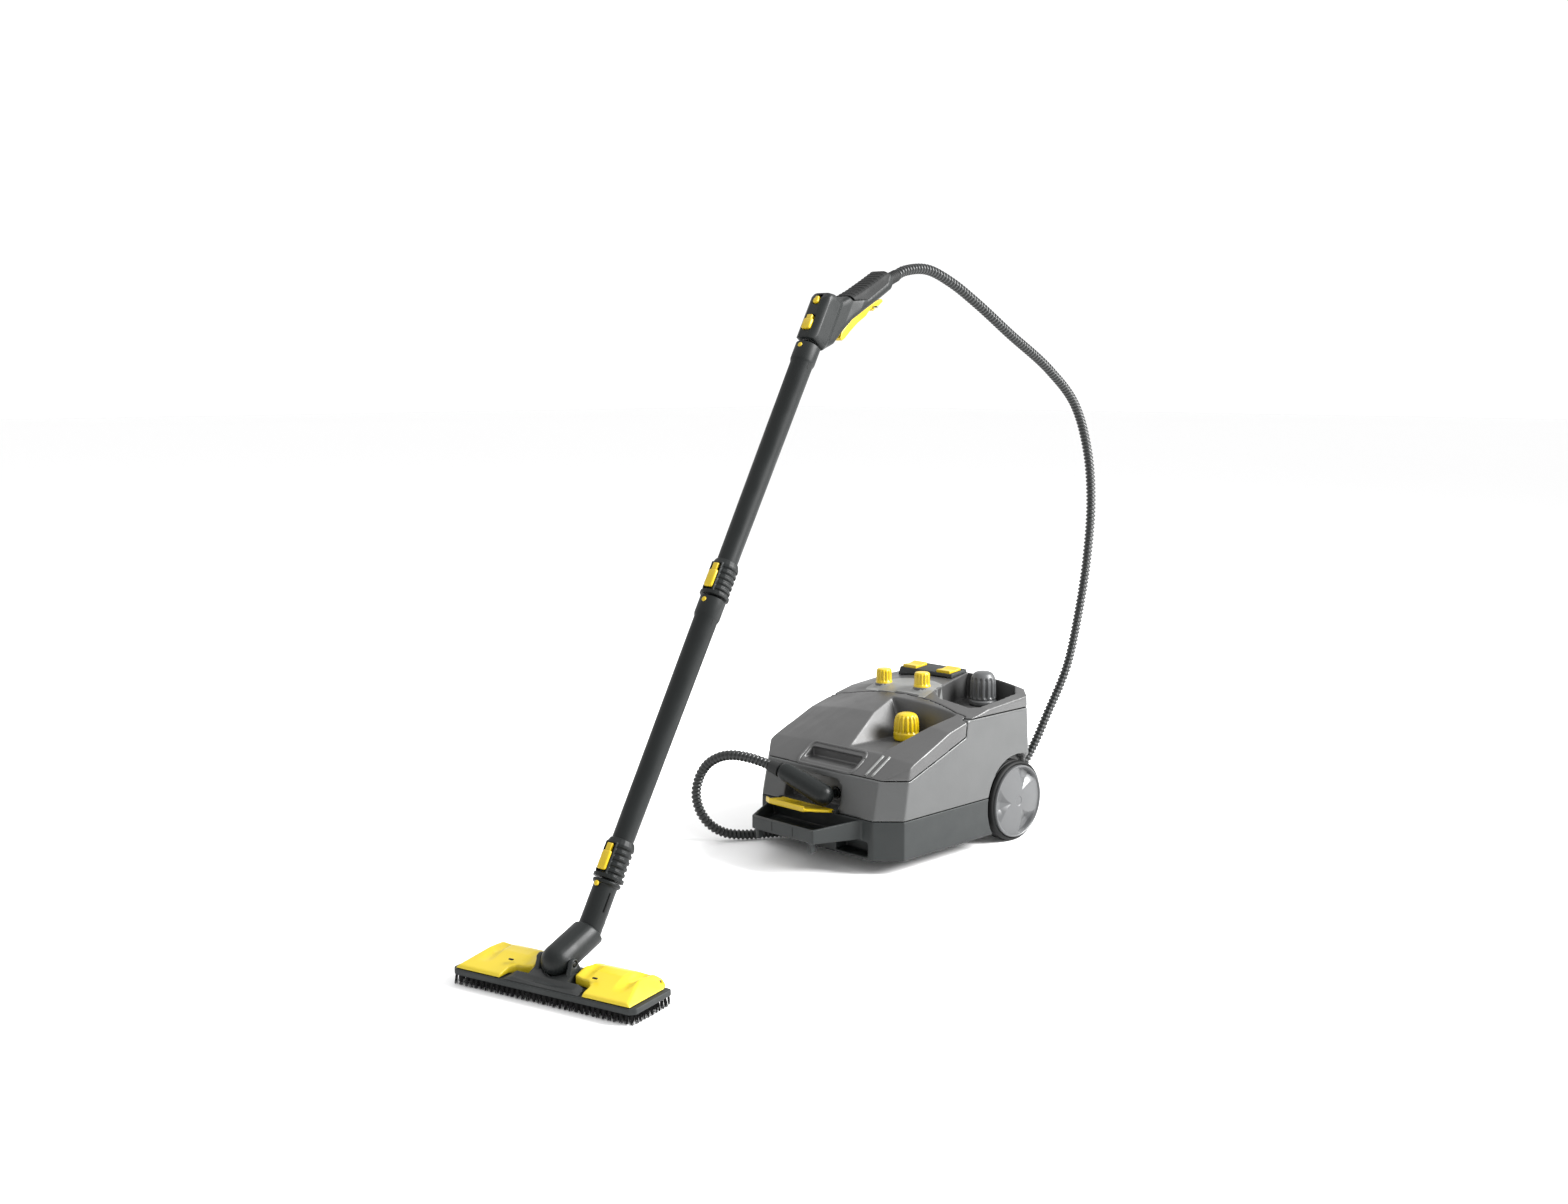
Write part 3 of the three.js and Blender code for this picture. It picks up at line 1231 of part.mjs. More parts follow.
// the grip's soft insert lies on top of the rear of the gun
const insertReach = [[20, 112], [42, 108], [70, 128], [100, 178], [92, 214], [60, 190]].map(
  ([y, w]) => [y, w + GUN_Z],
);
const insertZone = side(insertReach, -REACH, REACH);
const gunSkin = rounded(gunOutline, GUN_HALF, GUN_BEVEL);
const gunCore = rounded(inset(gunOutline, INSERT_DEPTH), GUN_HALF - INSERT_DEPTH, GUN_BEVEL);
const gripInsert = cut(gunSkin, gunCore).intersect(insertZone);
const bedDepth = INSERT_DEPTH + GAP;
const insertGap = rounded(inset(gunOutline, bedDepth), GUN_HALF - bedDepth, GUN_BEVEL);
const insertBed = cut(rounded(inset(gunOutline, -2), GUN_HALF + 2, GUN_BEVEL), insertGap).intersect(
  side(inset(insertReach, -GAP), -REACH, REACH),
);
const gunBare = cut(gunBody, insertBed);

const gunExit = new THREE.Vector3(0, 111, GUN_Z + 188);
const gunExitAxis = new THREE.Vector3(0, 0.62, 0.785).normalize();
const exitHole = along(new THREE.CylinderGeometry(7, 7, 60, 20), gunExit, gunExitAxis);
const exitFlat = halfSpace(gunExit, gunExitAxis, 0);
const gunCutOpen = cut(gunBare, exitHole, exitFlat);
const leftSide = box(GAP / 2, REACH, -REACH, REACH, 0, 2 * GUN_Z);
addTo(wand, 'gun_shell_left', gunCutOpen.intersect(leftSide), COLOURS.black);
addTo(wand, 'gun_shell_right', gunCutOpen.intersect(acrossMiddle(leftSide)), COLOURS.black);
addTo(wand, 'grip_insert', gripInsert, COLOURS.rubber);

function trigger() {
  const outline = [
    [97, 132], [104, 131], [112, 146], [118, 158], [114, 160], [104, 150], [97, 141], [82, 122],
    [66, 96], [57, 74], [52, 58], [54, 50], [60, 49], [64, 56], [70, 72], [80, 94], [92, 114],
  ].map(([y, w]) => [y, w + GUN_Z]);
  const blade = side(outline.reverse(), -6, 6);
  return cut(blade, barX(TRIGGER_PIN_RADIUS + GAP, -REACH, REACH, ...TRIGGER_PIN, 14));
}
addTo(wand, 'trigger', trigger(), COLOURS.yellow);
const pinReach = GUN_HALF - 4 - GAP;
addTo(wand, 'trigger_pin', barX(TRIGGER_PIN_RADIUS, -pinReach, pinReach, ...TRIGGER_PIN, 14), COLOURS.steel);
addTo(wand, 'gun_release_button', box(-8 + GAP, 8 - GAP, -23, -13, GUN_Z + 18 + GAP, GUN_Z + 42 - GAP),
  COLOURS.yellow);
addTo(wand, 'lock_button', box(-5 + GAP, 5 - GAP, -22, -13, GUN_Z + 62 + GAP, GUN_Z + 74), COLOURS.yellow);

// ---------------------------------------------------------------- hose

const gunExitWorld = gunExit.clone().addScaledVector(gunExitAxis, GAP).applyMatrix4(wand.matrixWorld);
const gunAxisWorld = gunExitAxis.clone().transformDirection(wand.matrixWorld);
const gunReliefEnd = gunExitWorld.clone().addScaledVector(gunAxisWorld, RELIEF_LENGTH);
add('hose_relief_gun', taperedSleeve(gunExitWorld, gunReliefEnd, RELIEF_RADIUS - 2, HOSE_RADIUS + 0.8),
  COLOURS.rubber);
const hoseEnd = gunReliefEnd.clone().addScaledVector(gunAxisWorld, GAP);
const hosePoints = [
  hoseStart,
  ...route.slice(1).map((p) => new THREE.Vector3(...p)),
  hoseEnd.clone().addScaledVector(gunAxisWorld, 25),
  hoseEnd,
];
add('steam_hose', tubeAlong(hosePoints, HOSE_RADIUS, 8, 80), COLOURS.rubber);

// The part stands with its origin at the bottom centre of everything but the hose.
scene.updateMatrixWorld(true);
const extent = new THREE.Box3();
scene.traverse((piece) => {
  if (piece.isMesh && piece.name !== 'steam_hose') extent.expandByObject(piece, true);
});
const middle = extent.getCenter(new THREE.Vector3());
const part = new THREE.Group();
scene.position.set(-middle.x, -middle.y, 0);
part.add(scene);

export default part;
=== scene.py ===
import json
import math
import random

import bmesh
import bpy
from mathutils import Matrix, Vector
from mathutils.bvhtree import BVHTree


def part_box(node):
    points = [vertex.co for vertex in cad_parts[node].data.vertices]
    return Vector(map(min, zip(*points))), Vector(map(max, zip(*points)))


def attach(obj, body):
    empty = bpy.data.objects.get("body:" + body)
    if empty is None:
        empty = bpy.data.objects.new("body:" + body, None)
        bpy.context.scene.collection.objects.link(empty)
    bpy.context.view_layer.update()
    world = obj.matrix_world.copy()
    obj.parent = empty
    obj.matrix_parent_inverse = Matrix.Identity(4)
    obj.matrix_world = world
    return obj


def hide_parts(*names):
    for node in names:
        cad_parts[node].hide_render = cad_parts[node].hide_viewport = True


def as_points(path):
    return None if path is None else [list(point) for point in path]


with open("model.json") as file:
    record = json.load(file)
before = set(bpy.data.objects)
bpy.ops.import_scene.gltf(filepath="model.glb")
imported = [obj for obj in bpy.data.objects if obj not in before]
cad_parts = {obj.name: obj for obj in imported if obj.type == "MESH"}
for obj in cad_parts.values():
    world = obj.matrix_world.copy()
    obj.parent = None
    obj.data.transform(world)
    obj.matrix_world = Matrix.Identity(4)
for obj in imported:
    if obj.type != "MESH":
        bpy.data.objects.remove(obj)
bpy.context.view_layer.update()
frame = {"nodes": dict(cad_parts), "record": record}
random.seed(7)

# The machine's own axes stand on the floor under it; the rear axle gives their place.
AXLE_Y = 157
axle_low, axle_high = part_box("rear_axle")
ORIGIN = Vector(((axle_low.x + axle_high.x) / 2, (axle_low.y + axle_high.y) / 2 - AXLE_Y / 1000, 0))


def at(x, y, z):
    """A place in the machine's axes, in millimetres, as a point of the frame in metres."""
    return ORIGIN + Vector((x, y, z)) / 1000


def frame_of(origin, x_axis, y_axis, z_axis):
    """The matrix of a frame from its origin and its three axes."""
    rows = [[a[i] for a in (x_axis, y_axis, z_axis)] + [origin[i]] for i in range(3)]
    return Matrix(rows + [[0, 0, 0, 1]])


MACHINE = Matrix.Translation(ORIGIN)

# The floor tool's own y runs to its rear, from the middle of the plate on the floor.
TOOL_YAW = math.radians(14.9)
TOOL = Matrix.Translation(at(182, -811, 0)) @ Matrix.Rotation(TOOL_YAW, 4, "Z")
PIVOT_Y = -6
PIVOT_Z = 46
ELBOW_LENGTH = 67.3
ELBOW_RISE = math.radians(15.8)

# The wand stands on the elbow's swivel; its own z runs up the tubes and its own y to the underside.
WAND_AZIMUTH = math.radians(8)
WAND_LEAN = math.radians(32.2)
ELBOW_AXIS = Vector((0, math.cos(ELBOW_RISE), math.sin(ELBOW_RISE)))
SWIVEL = Vector((0, PIVOT_Y, PIVOT_Z)) + ELBOW_AXIS * ELBOW_LENGTH
WAND_TURN = Matrix.Rotation(WAND_AZIMUTH, 4, "Z") @ Matrix.Rotation(-WAND_LEAN, 4, "X")
WAND = Matrix.Translation(TOOL @ (SWIVEL / 1000)) @ WAND_TURN

# Heights of the wand's three joints above its foot.
NECK_LENGTH = 68
TUBE_PITCH = 408.5
COUPLINGS = [NECK_LENGTH + k * TUBE_PITCH for k in range(3)]


# ------------------------------------------------------------------ camera and light

# The camera was fitted to the photograph.
CAMERA_PLACE = at(1800, -2014.9, 770.8)
CAMERA_LOOK = Vector((-0.7048, 0.6964, -0.1352)).normalized()
CAMERA_LENS = 37.99
SENSOR_WIDTH = 36


def make_camera():
    data = bpy.data.cameras.new("camera")
    data.sensor_width = SENSOR_WIDTH
    data.lens = CAMERA_LENS
    data.clip_end = 50
    camera = bpy.data.objects.new("camera", data)
    side = CAMERA_LOOK.cross(Vector((0, 0, 1))).normalized()
    camera.matrix_world = frame_of(CAMERA_PLACE, side, side.cross(CAMERA_LOOK), -CAMERA_LOOK)
    bpy.context.scene.collection.objects.link(camera)
    bpy.context.scene.camera = camera


def area_light(name, place, target, size, power):
    data = bpy.data.lights.new(name, "AREA")
    data.shape = "RECTANGLE"
    data.size, data.size_y = size
    data.energy = power
    light = bpy.data.objects.new(name, data)
    light.location = place
    light.rotation_euler = (Vector(target) - Vector(place)).to_track_quat("-Z", "Y").to_euler()
    bpy.context.scene.collection.objects.link(light)


def make_studio():
    """A bright white room, a soft key light behind the machine's side and a weak one overhead."""
    middle = Vector((0, 0, 0.3))
    area_light("key", place=(2.5, 1.9, 2.1), target=middle, size=(1.8, 1.8), power=400)
    area_light("top", place=(-0.4, -0.6, 3.6), target=middle, size=(3.2, 3.2), power=24)
    world = bpy.data.worlds.new("studio")
    world.use_nodes = True
    background = world.node_tree.nodes["Background"]
    background.inputs["Color"].default_value = (1, 1, 1, 1)
    background.inputs["Strength"].default_value = 1.08
    bpy.context.scene.world = world
    bpy.context.scene.view_settings.view_transform = "Standard"


make_camera()
make_studio()


# ------------------------------------------------------------------ materials

TINT_SCALE = 9
GLOSS_SCALE = 26
GRAIN_DEPTH = 0.0004


def linear(value):
    """One colour channel, 0 to 255, as linear light."""
    value /= 255
    return value / 12.92 if value <= 0.04045 else ((value + 0.055) / 1.055) ** 2.4


def plastic(name, rgb, rough=0.45, grain=900, bump=0.05, spread=0.06, metal=0.0, edge_highlight=0.25, rounding=0.0,
            gloss_level=0.5):
    """Moulded plastic, rubber or metal with grain, uneven gloss and edges made paler as a painted highlight.
    """
    material = bpy.data.materials.new(name)
    material.use_nodes = True
    nodes, links = material.node_tree.nodes, material.node_tree.links
    shader = nodes["Principled BSDF"]
    shader.inputs["Metallic"].default_value = metal
    shader.inputs["Specular IOR Level"].default_value = gloss_level
    place = nodes.new("ShaderNodeTexCoord")
    base = [linear(c) for c in rgb]

    def noise_at(scale, detail=3.0):
        noise = nodes.new("ShaderNodeTexNoise")
        noise.inputs["Scale"].default_value = scale
        noise.inputs["Detail"].default_value = detail
        links.new(place.outputs["Object"], noise.inputs["Vector"])
        return noise.outputs["Fac"]

    def ramp_of(source, low, high, start=0.35, end=0.65):
        ramp = nodes.new("ShaderNodeValToRGB")
        ramp.color_ramp.elements[0].position = start
        ramp.color_ramp.elements[1].position = end
        ramp.color_ramp.elements[0].color = low
        ramp.color_ramp.elements[1].color = high
        links.new(source, ramp.inputs["Fac"])
        return ramp.outputs["Color"]

    dark = [c * (1 - spread) for c in base] + [1]
    light = [min(1, c * (1 + spread)) for c in base] + [1]
    tint = ramp_of(noise_at(TINT_SCALE), dark, light)
    geometry = nodes.new("ShaderNodeNewGeometry")
    # Painted highlight: convex edges, found by pointiness, are mixed towards a paler colour to stand in for
    # the light they catch.
    edges = ramp_of(geometry.outputs["Pointiness"], (0, 0, 0, 1), (edge_highlight, edge_highlight, edge_highlight, 1), 0.52, 0.62)
    painted_edge_highlight = nodes.new("ShaderNodeMix")
    painted_edge_highlight.data_type = "RGBA"
    links.new(edges, painted_edge_highlight.inputs["Factor"])
    links.new(tint, painted_edge_highlight.inputs["A"])
    painted_edge_highlight.inputs["B"].default_value = [min(1, c * 1.5 + 0.03) for c in base] + [1]
    links.new(painted_edge_highlight.outputs["Result"], shader.inputs["Base Color"])
    gloss = ramp_of(noise_at(GLOSS_SCALE), (rough - 0.06,) * 3 + (1,), (rough + 0.07,) * 3 + (1,))
    links.new(gloss, shader.inputs["Roughness"])
    relief = nodes.new("ShaderNodeBump")
    relief.inputs["Strength"].default_value = bump
    relief.inputs["Distance"].default_value = GRAIN_DEPTH
    links.new(noise_at(grain, 2.0), relief.inputs["Height"])
    if rounding:
        edge = nodes.new("ShaderNodeBevel")
        edge.samples = 6
        edge.inputs["Radius"].default_value = rounding
        links.new(edge.outputs["Normal"], relief.inputs["Normal"])
    links.new(relief.outputs["Normal"], shader.inputs["Normal"])
    return material


SHELL = plastic("shell_plastic", (61, 62, 62), 0.40, 1400, 0.10, 0.03, rounding=0.0012)
COVER = plastic("cover_plastic", (60, 60, 60), 0.38, 1400, 0.12, 0.03, rounding=0.0012)
TUB = plastic("tub_plastic", (30, 33, 33), 0.5, 1400, 0.14, 0.04, rounding=0.0012, gloss_level=0.3)
DARK = plastic("dark_plastic", (26, 28, 28), 0.42, 1400, 0.12, 0.04, gloss_level=0.4)
BLACK = plastic("black_plastic", (15, 18, 18), 0.44, 1400, 0.10, 0.05, gloss_level=0.22, edge_highlight=0.15)
# Near-black colour for painted shade: dark boxes set into slots and grooves where there is only shade.
PAINTED_SHADE = plastic("shadow_plastic", (10, 11, 11), 0.6, 1400, 0.10, 0.05, gloss_level=0.2)
HOSE = plastic("hose_rubber", (13, 16, 16), 0.34, 900, 0.12, 0.08, gloss_level=0.45)
RUBBER = plastic("black_rubber", (15, 16, 16), 0.65, 700, 0.25, 0.08, gloss_level=0.25)
TYRE = plastic("tyre_rubber", (10, 11, 11), 0.6, 700, 0.25, 0.08, gloss_level=0.2)
TRIM = plastic("grey_trim", (66, 67, 68), 0.38, 1400, 0.10, 0.03)
YELLOW = plastic("yellow_plastic", (178, 152, 8), 0.33, 1400, 0.06, 0.03, edge_highlight=0.08, gloss_level=0.4)
# A paler copy of the yellow plastic for the clips: painted light, standing in for the brighter light falling
# on them.
PAINTED_LIGHT_CLIP_YELLOW = plastic("clip_yellow_painted_light", (190, 168, 30), 0.36, 1400, 0.06, 0.03, edge_highlight=0.08, gloss_level=0.4)
PALE = plastic("pale_panel", (104, 105, 104), 0.35, 1400, 0.06, 0.02)
BRISTLE = plastic("bristle_fibre", (9, 9, 10), 0.55, 1800, 0.2, 0.12, gloss_level=0.2)
STEEL = plastic("steel", (150, 152, 154), 0.3, 1800, 0.08, 0.04, metal=1.0)
BRASS = plastic("brass", (150, 126, 70), 0.33, 1800, 0.08, 0.04, metal=1.0)
BOARD = plastic("board_green", (27, 70, 38), 0.5, 600, 0.1, 0.06)
TANK = plastic("tank_plastic", (150, 152, 149), 0.4, 900, 0.05, 0.03)

LOOKS = {
    "tub_plastic": TUB, "shell_plastic": SHELL, "cover_plastic": COVER, "black_plastic": BLACK,
    "grey_trim": TRIM, "yellow_plastic": YELLOW, "black_rubber": RUBBER, "tyre_rubber": TYRE,
    "steel": STEEL, "brass": BRASS, "board": BOARD, "tank_plastic": TANK, "bristle": BRISTLE,
}
slot_of = {part["node"]: part["material_slot"] for part in frame["record"]["subparts"]}
body_of = {node: body for body, nodes in frame["record"]["behaviour"]["bodies"].items() for node in nodes}
for node, thing in frame["nodes"].items():
    thing.data.materials.clear()
    thing.data.materials.append(LOOKS[slot_of[node]])


# ------------------------------------------------------------------ making pieces

def new_piece(name, vertices, faces, material, smooth=True):
    mesh = bpy.data.meshes.new(name)
    mesh.from_pydata([tuple(v) for v in vertices], [], faces)
    mesh.materials.append(material)
    mesh.validate()
    for polygon in mesh.polygons:
        polygon.use_smooth = smooth
    thing = bpy.data.objects.new(name, mesh)
    bpy.context.scene.collection.objects.link(thing)
    return thing


def settle(piece, node, hides=()):
    """The piece rides where a node rides and hides the nodes it stands for."""
    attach(piece, body_of[node])
    if hides:
        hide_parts(*hides)
    return piece


def piece_of(made, name, materials=()):
    """A bmesh as a new object in the scene."""
    mesh = bpy.data.meshes.new(name)
    made.to_mesh(mesh)
    made.free()
    for material in materials:
        mesh.materials.append(material)
    thing = bpy.data.objects.new(name, mesh)
    bpy.context.scene.collection.objects.link(thing)
    return thing


def apply_modifiers(thing):
    """The object's mesh as its modifiers leave it."""
    graph = bpy.context.evaluated_depsgraph_get()
    mesh = bpy.data.meshes.new_from_object(thing.evaluated_get(graph))
    thing.modifiers.clear()
    thing.data = mesh


def smooth_by_angle(thing, degrees):
    """Smooth faces, with the edges sharper than the angle left crisp."""
    made = bmesh.new()
    made.from_mesh(thing.data)
    for face in made.faces:
        face.smooth = True
    for edge in made.edges:
        edge.smooth = len(edge.link_faces) == 2 and edge.calc_face_angle(0) < math.radians(degrees)
    made.to_mesh(thing.data)
    made.free()


def moulded(nodes, voxel, passes=6, material=None, reshape=None):
    """A moulded version of one or more nodes: the same solid with softly rounded edges. reshape, if
    given, moves each point: reshape(point) in metres."""
    made = bmesh.new()
    for node in nodes:
        made.from_mesh(frame["nodes"][node].data)
    thing = piece_of(made, nodes[0] + "_moulding")
    remesh = thing.modifiers.new("remesh", "REMESH")
    remesh.mode = "VOXEL"
    remesh.voxel_size = voxel
    remesh.adaptivity = 0
    smoothing = thing.modifiers.new("smooth", "SMOOTH")
    smoothing.factor = 0.5
    smoothing.iterations = passes
    bpy.context.view_layer.update()
    apply_modifiers(thing)
    if reshape:
        for vertex in thing.data.vertices:
            vertex.co = reshape(vertex.co)
    thing.data.materials.clear()
    thing.data.materials.append(material or LOOKS[slot_of[nodes[0]]])
    for polygon in thing.data.polygons:
        polygon.use_smooth = True
    return settle(thing, nodes[0], hides=nodes)


def turned(name, profile, material, matrix, segments, shape=None):
    """A turned body about the matrix's z from (radius, height) pairs in millimetres, closed at both
    ends. shape, if given, changes a ring's radius by angle: shape(angle, radius, height)."""
    vertices, faces = [], []
    count = len(profile)
    for radius, height in profile:
        for s in range(segments):
            angle = 2 * math.pi * s / segments
            r = shape(angle, radius, height) if shape else radius
            vertices.append(matrix @ (Vector((r * math.cos(angle), r * math.sin(angle), height)) / 1000))
    for i in range(count - 1):
        for s in range(segments):
            t = (s + 1) % segments
            faces.append((i * segments + s, i * segments + t, (i + 1) * segments + t, (i + 1) * segments + s))
    for i, flip in ((0, True), (count - 1, False)):
        ring = [i * segments + s for s in range(segments)]
        centre = sum((vertices[k] for k in ring), Vector()) / segments
        vertices.append(centre)
        for s in range(segments):
            t = (s + 1) % segments
            tri = (ring[s], ring[t], len(vertices) - 1)
            faces.append(tri[::-1] if flip else tri)
    return new_piece(name, vertices, faces, material)


def rounded_box(name, matrix, size, radius, material, segments=3):
    """A block with rounded edges, its middle at the matrix, sizes in millimetres."""
    made = bmesh.new()
    bmesh.ops.create_cube(made, size=1)
    bmesh.ops.scale(made, vec=Vector(size) / 1000, verts=made.verts)
    bmesh.ops.bevel(made, geom=made.edges[:], offset=radius / 1000, segments=segments, profile=0.5,
                    affect="EDGES")
    bmesh.ops.transform(made, matrix=matrix, verts=made.verts)
    thing = piece_of(made, name, [material])
    for polygon in thing.data.polygons:
        polygon.use_smooth = True
    return thing


def joined(name, pieces):
    """Several meshes as one piece."""
    made = bmesh.new()
    materials = []
    for piece in pieces:
        start = len(made.faces)
        made.from_mesh(piece.data)
        made.faces.ensure_lookup_table()
        material = piece.data.materials[0]
        if material not in materials:
            materials.append(material)
        for face in made.faces[start:]:
            face.material_index = materials.index(material)
        bpy.data.objects.remove(piece)
    return piece_of(made, name, materials)


def local(matrix, x, y, z):
    """The matrix moved along its own axes, in millimetres."""
    return matrix @ Matrix.Translation(Vector((x, y, z)) / 1000)


# ------------------------------------------------------------------ hose

HOSE_RADIUS = 8.5
RELIEF_LENGTH = 34
GUN_Z = COUPLINGS[2]
GRIP_AXIS = Vector((0, 0.62, 0.785))
GUN_EXIT = WAND @ (Vector((0, 111, GUN_Z + 188)) / 1000)
EXIT_AXIS = (WAND.to_3x3() @ GRIP_AXIS).normalized()
HOSE_ROUTE = [
    (-70, -198, 149), (-89.1, -201.8, 153.5), (-113, -208, 157), (-140, -216, 157.5), (-165, -223, 151),
    (-188, -229, 135.5), (-203, -233, 112), (-209, -235, 83.5), (-206, -230, 55.5), (-197, -217, 31.5),
    (-184, -197, 15.6), (-168, -173, 10), (-141, -131, 10), (-114, -84, 10), (-92, -35, 10), (-72, 25, 10),
    (-48, 115, 10), (-24, 215, 10), (-4, 300, 22), (14, 366, 78), (22, 425, 165), (28, 468, 240),
    (33, 492, 330), (38, 509, 437), (42, 512, 546), (46, 491, 638), (50, 444, 720), (55, 358, 782),
    (58, 240, 842), (60, 150, 889), (61, 80, 921), (62, 20, 938),
]
HOSE_END = GUN_EXIT + EXIT_AXIS * (RELIEF_LENGTH + 0.6) / 1000
STRAIGHT_END = 0.025


def centripetal(points, per_span):
    """Points on the smooth line through the given ones, with the usual half-power knots."""
    ends = [points[0] * 2 - points[1], *points, points[-1] * 2 - points[-2]]
    line = []
    for i in range(len(points) - 1):
        p = ends[i:i + 4]
        knots = [0.0]
        for a, b in zip(p, p[1:]):
            knots.append(knots[-1] + max(1e-6, (b - a).length) ** 0.5)
        for step in range(per_span):
            t = knots[1] + (knots[2] - knots[1]) * step / per_span
            a = [p[k] + (p[k + 1] - p[k]) * ((t - knots[k]) / (knots[k + 1] - knots[k])) for k in range(3)]
            b = [a[k] + (a[k + 1] - a[k]) * ((t - knots[k]) / (knots[k + 2] - knots[k])) for k in range(2)]
            line.append(b[0] + (b[1] - b[0]) * ((t - knots[1]) / (knots[2] - knots[1])))
    return [*line, points[-1]]


def evenly(line, step):
    """The same line with points a fixed step apart."""
    total = sum((b - a).length for a, b in zip(line, line[1:]))
    count = max(2, round(total / step))
    spaced, travelled, target = [line[0]], 0.0, total / count
    for a, b in zip(line, line[1:]):
        span = (b - a).length
        while travelled + span >= target - 1e-9 and len(spaced) < count:
            spaced.append(a.lerp(b, (target - travelled) / span))
            target += total / count
        travelled += span
    return [*spaced, line[-1]], total


def swept(name, line, radius_at, sides, material):
    """A tube of changing radius (metres) along a line, with closed ends."""
    vertices, faces = [], []
    tangent = (line[1] - line[0]).normalized()
    side = tangent.orthogonal().normalized()
    for i, point in enumerate(line):
        ahead = line[min(i + 1, len(line) - 1)]
        behind = line[max(i - 1, 0)]
        tangent = (ahead - behind).normalized()
        side = (side - tangent * side.dot(tangent)).normalized()
        other = tangent.cross(side)
        radius = radius_at(i)
        for s in range(sides):
            angle = 2 * math.pi * s / sides
            vertices.append(point + (side * math.cos(angle) + other * math.sin(angle)) * radius)
    for i in range(len(line) - 1):
        for s in range(sides):
            t = (s + 1) % sides
            faces.append((i * sides + s, i * sides + t, (i + 1) * sides + t, (i + 1) * sides + s))
    faces.append(tuple(reversed(range(sides))))
    faces.append(tuple((len(line) - 1) * sides + s for s in range(sides)))
    return new_piece(name, vertices, faces, material)


# One rib of the hose: its pitch in metres, and its radius along the pitch as shares of the hose's.
RIB_PITCH = 0.0072
RIB_SHAPE = (0.74, 0.74, 0.82, 0.97, 1.0, 1.0, 0.97, 0.82)
RIB_STEPS = len(RIB_SHAPE)


def make_hose():
    route = [at(*p) for p in HOSE_ROUTE] + [HOSE_END + EXIT_AXIS * STRAIGHT_END, HOSE_END]
    line, length = evenly(centripetal(route, 24), RIB_PITCH / RIB_STEPS)
    hose = swept("ribbed_hose", line, lambda i: HOSE_RADIUS / 1000 * RIB_SHAPE[i % RIB_STEPS], 14, HOSE)
    settle(hose, "steam_hose", hides=["steam_hose"])
    return hose, line, length


hose, hose_line, hose_length = make_hose()


SLEEVE_STEPS = 44
SLEEVE_FOOT_RADIUS = 0.010
SLEEVE_TIP_RADIUS = (HOSE_RADIUS + 0.9) / 1000
SLEEVE_RING_DEPTH = 0.0007


def make_gun_sleeve():
    """The tapered, ringed sleeve where the hose goes into the gun."""
    start = GUN_EXIT + EXIT_AXIS * 0.0003
    end = GUN_EXIT + EXIT_AXIS * RELIEF_LENGTH / 1000
    line = [start.lerp(end, i / SLEEVE_STEPS) for i in range(SLEEVE_STEPS + 1)]

    def radius_at(i):
        share = i / SLEEVE_STEPS
        ring = SLEEVE_RING_DEPTH if (i // 3) % 2 else 0.0
        return SLEEVE_FOOT_RADIUS * (1 - share) + SLEEVE_TIP_RADIUS * share - ring

    sleeve = swept("gun_hose_sleeve", line, radius_at, 28, RUBBER)
    settle(sleeve, "hose_relief_gun", hides=["hose_relief_gun"])


make_gun_sleeve()
tuple(hose_line[0])
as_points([tuple(p) for p in hose_line[::6]] + [tuple(hose_line[-1])])


# ------------------------------------------------------------------ moulded casings

def hump(value, middle, half):
    """1 at the middle, falling smoothly to 0 half a width away."""
    away = min(1, abs(value - middle) / half)
    return (1 - away * away) ** 2


CLIP_SCOOP_Z = 25
OUTER_SCOOP_X = 106
INNER_SCOOP_X = 46


def clip_shape(sign):
    """A clip's finger scoop near its outer end and a shallow one beside the elbow."""
    inverse = TOOL.inverted()

    def reshape(point):
        place = inverse @ point * 1000
        if place.z < CLIP_SCOOP_Z:
            return point
        share = min(1, (place.z - CLIP_SCOOP_Z) / 8)
        outer = 4.6 * hump(place.x, sign * OUTER_SCOOP_X, 13)
        inner = 1.8 * hump(place.x, sign * INNER_SCOOP_X, 11)
        place.z -= share * hump(place.y, 6, 34) * (outer + inner)
        return TOOL @ (place / 1000)

    return reshape


BARREL_RADIUS = 20.6
BARREL_REAR = 12
WEB_FRONT = 15
WEB_REAR = 62
WEB_THINNING = 0.17


def gun_shape(point):
    """The gun's round barrel, and its flatter web and grip behind it."""
    place = WAND.inverted() @ point * 1000
    behind = max(0, min(1, (place.y - WEB_FRONT) / 7))
    web = behind * max(0, min(1, (WEB_REAR - place.y) / 20))
    place.x *= 1 - WEB_THINNING * web
    reach = math.hypot(place.x, place.y)
    if place.y < BARREL_REAR and reach > BARREL_RADIUS and abs(place.x) > 9:
        share = min(1, (BARREL_REAR - place.y) / 8)
        scale = 1 - share * (1 - BARREL_RADIUS / reach)
        place.x *= scale
        place.y *= scale
    return WAND @ (place / 1000)


INSERT_RIB_PITCH = 9
INSERT_RIB_HEIGHT = 0.9


def insert_shape(point):
    """Low ribs across the soft insert of the grip."""
    place = WAND.inverted() @ point * 1000
    along = place.dot(GRIP_AXIS)
    place.y -= INSERT_RIB_HEIGHT * max(0, math.sin(along * 2 * math.pi / INSERT_RIB_PITCH))
    return WAND @ (place / 1000)


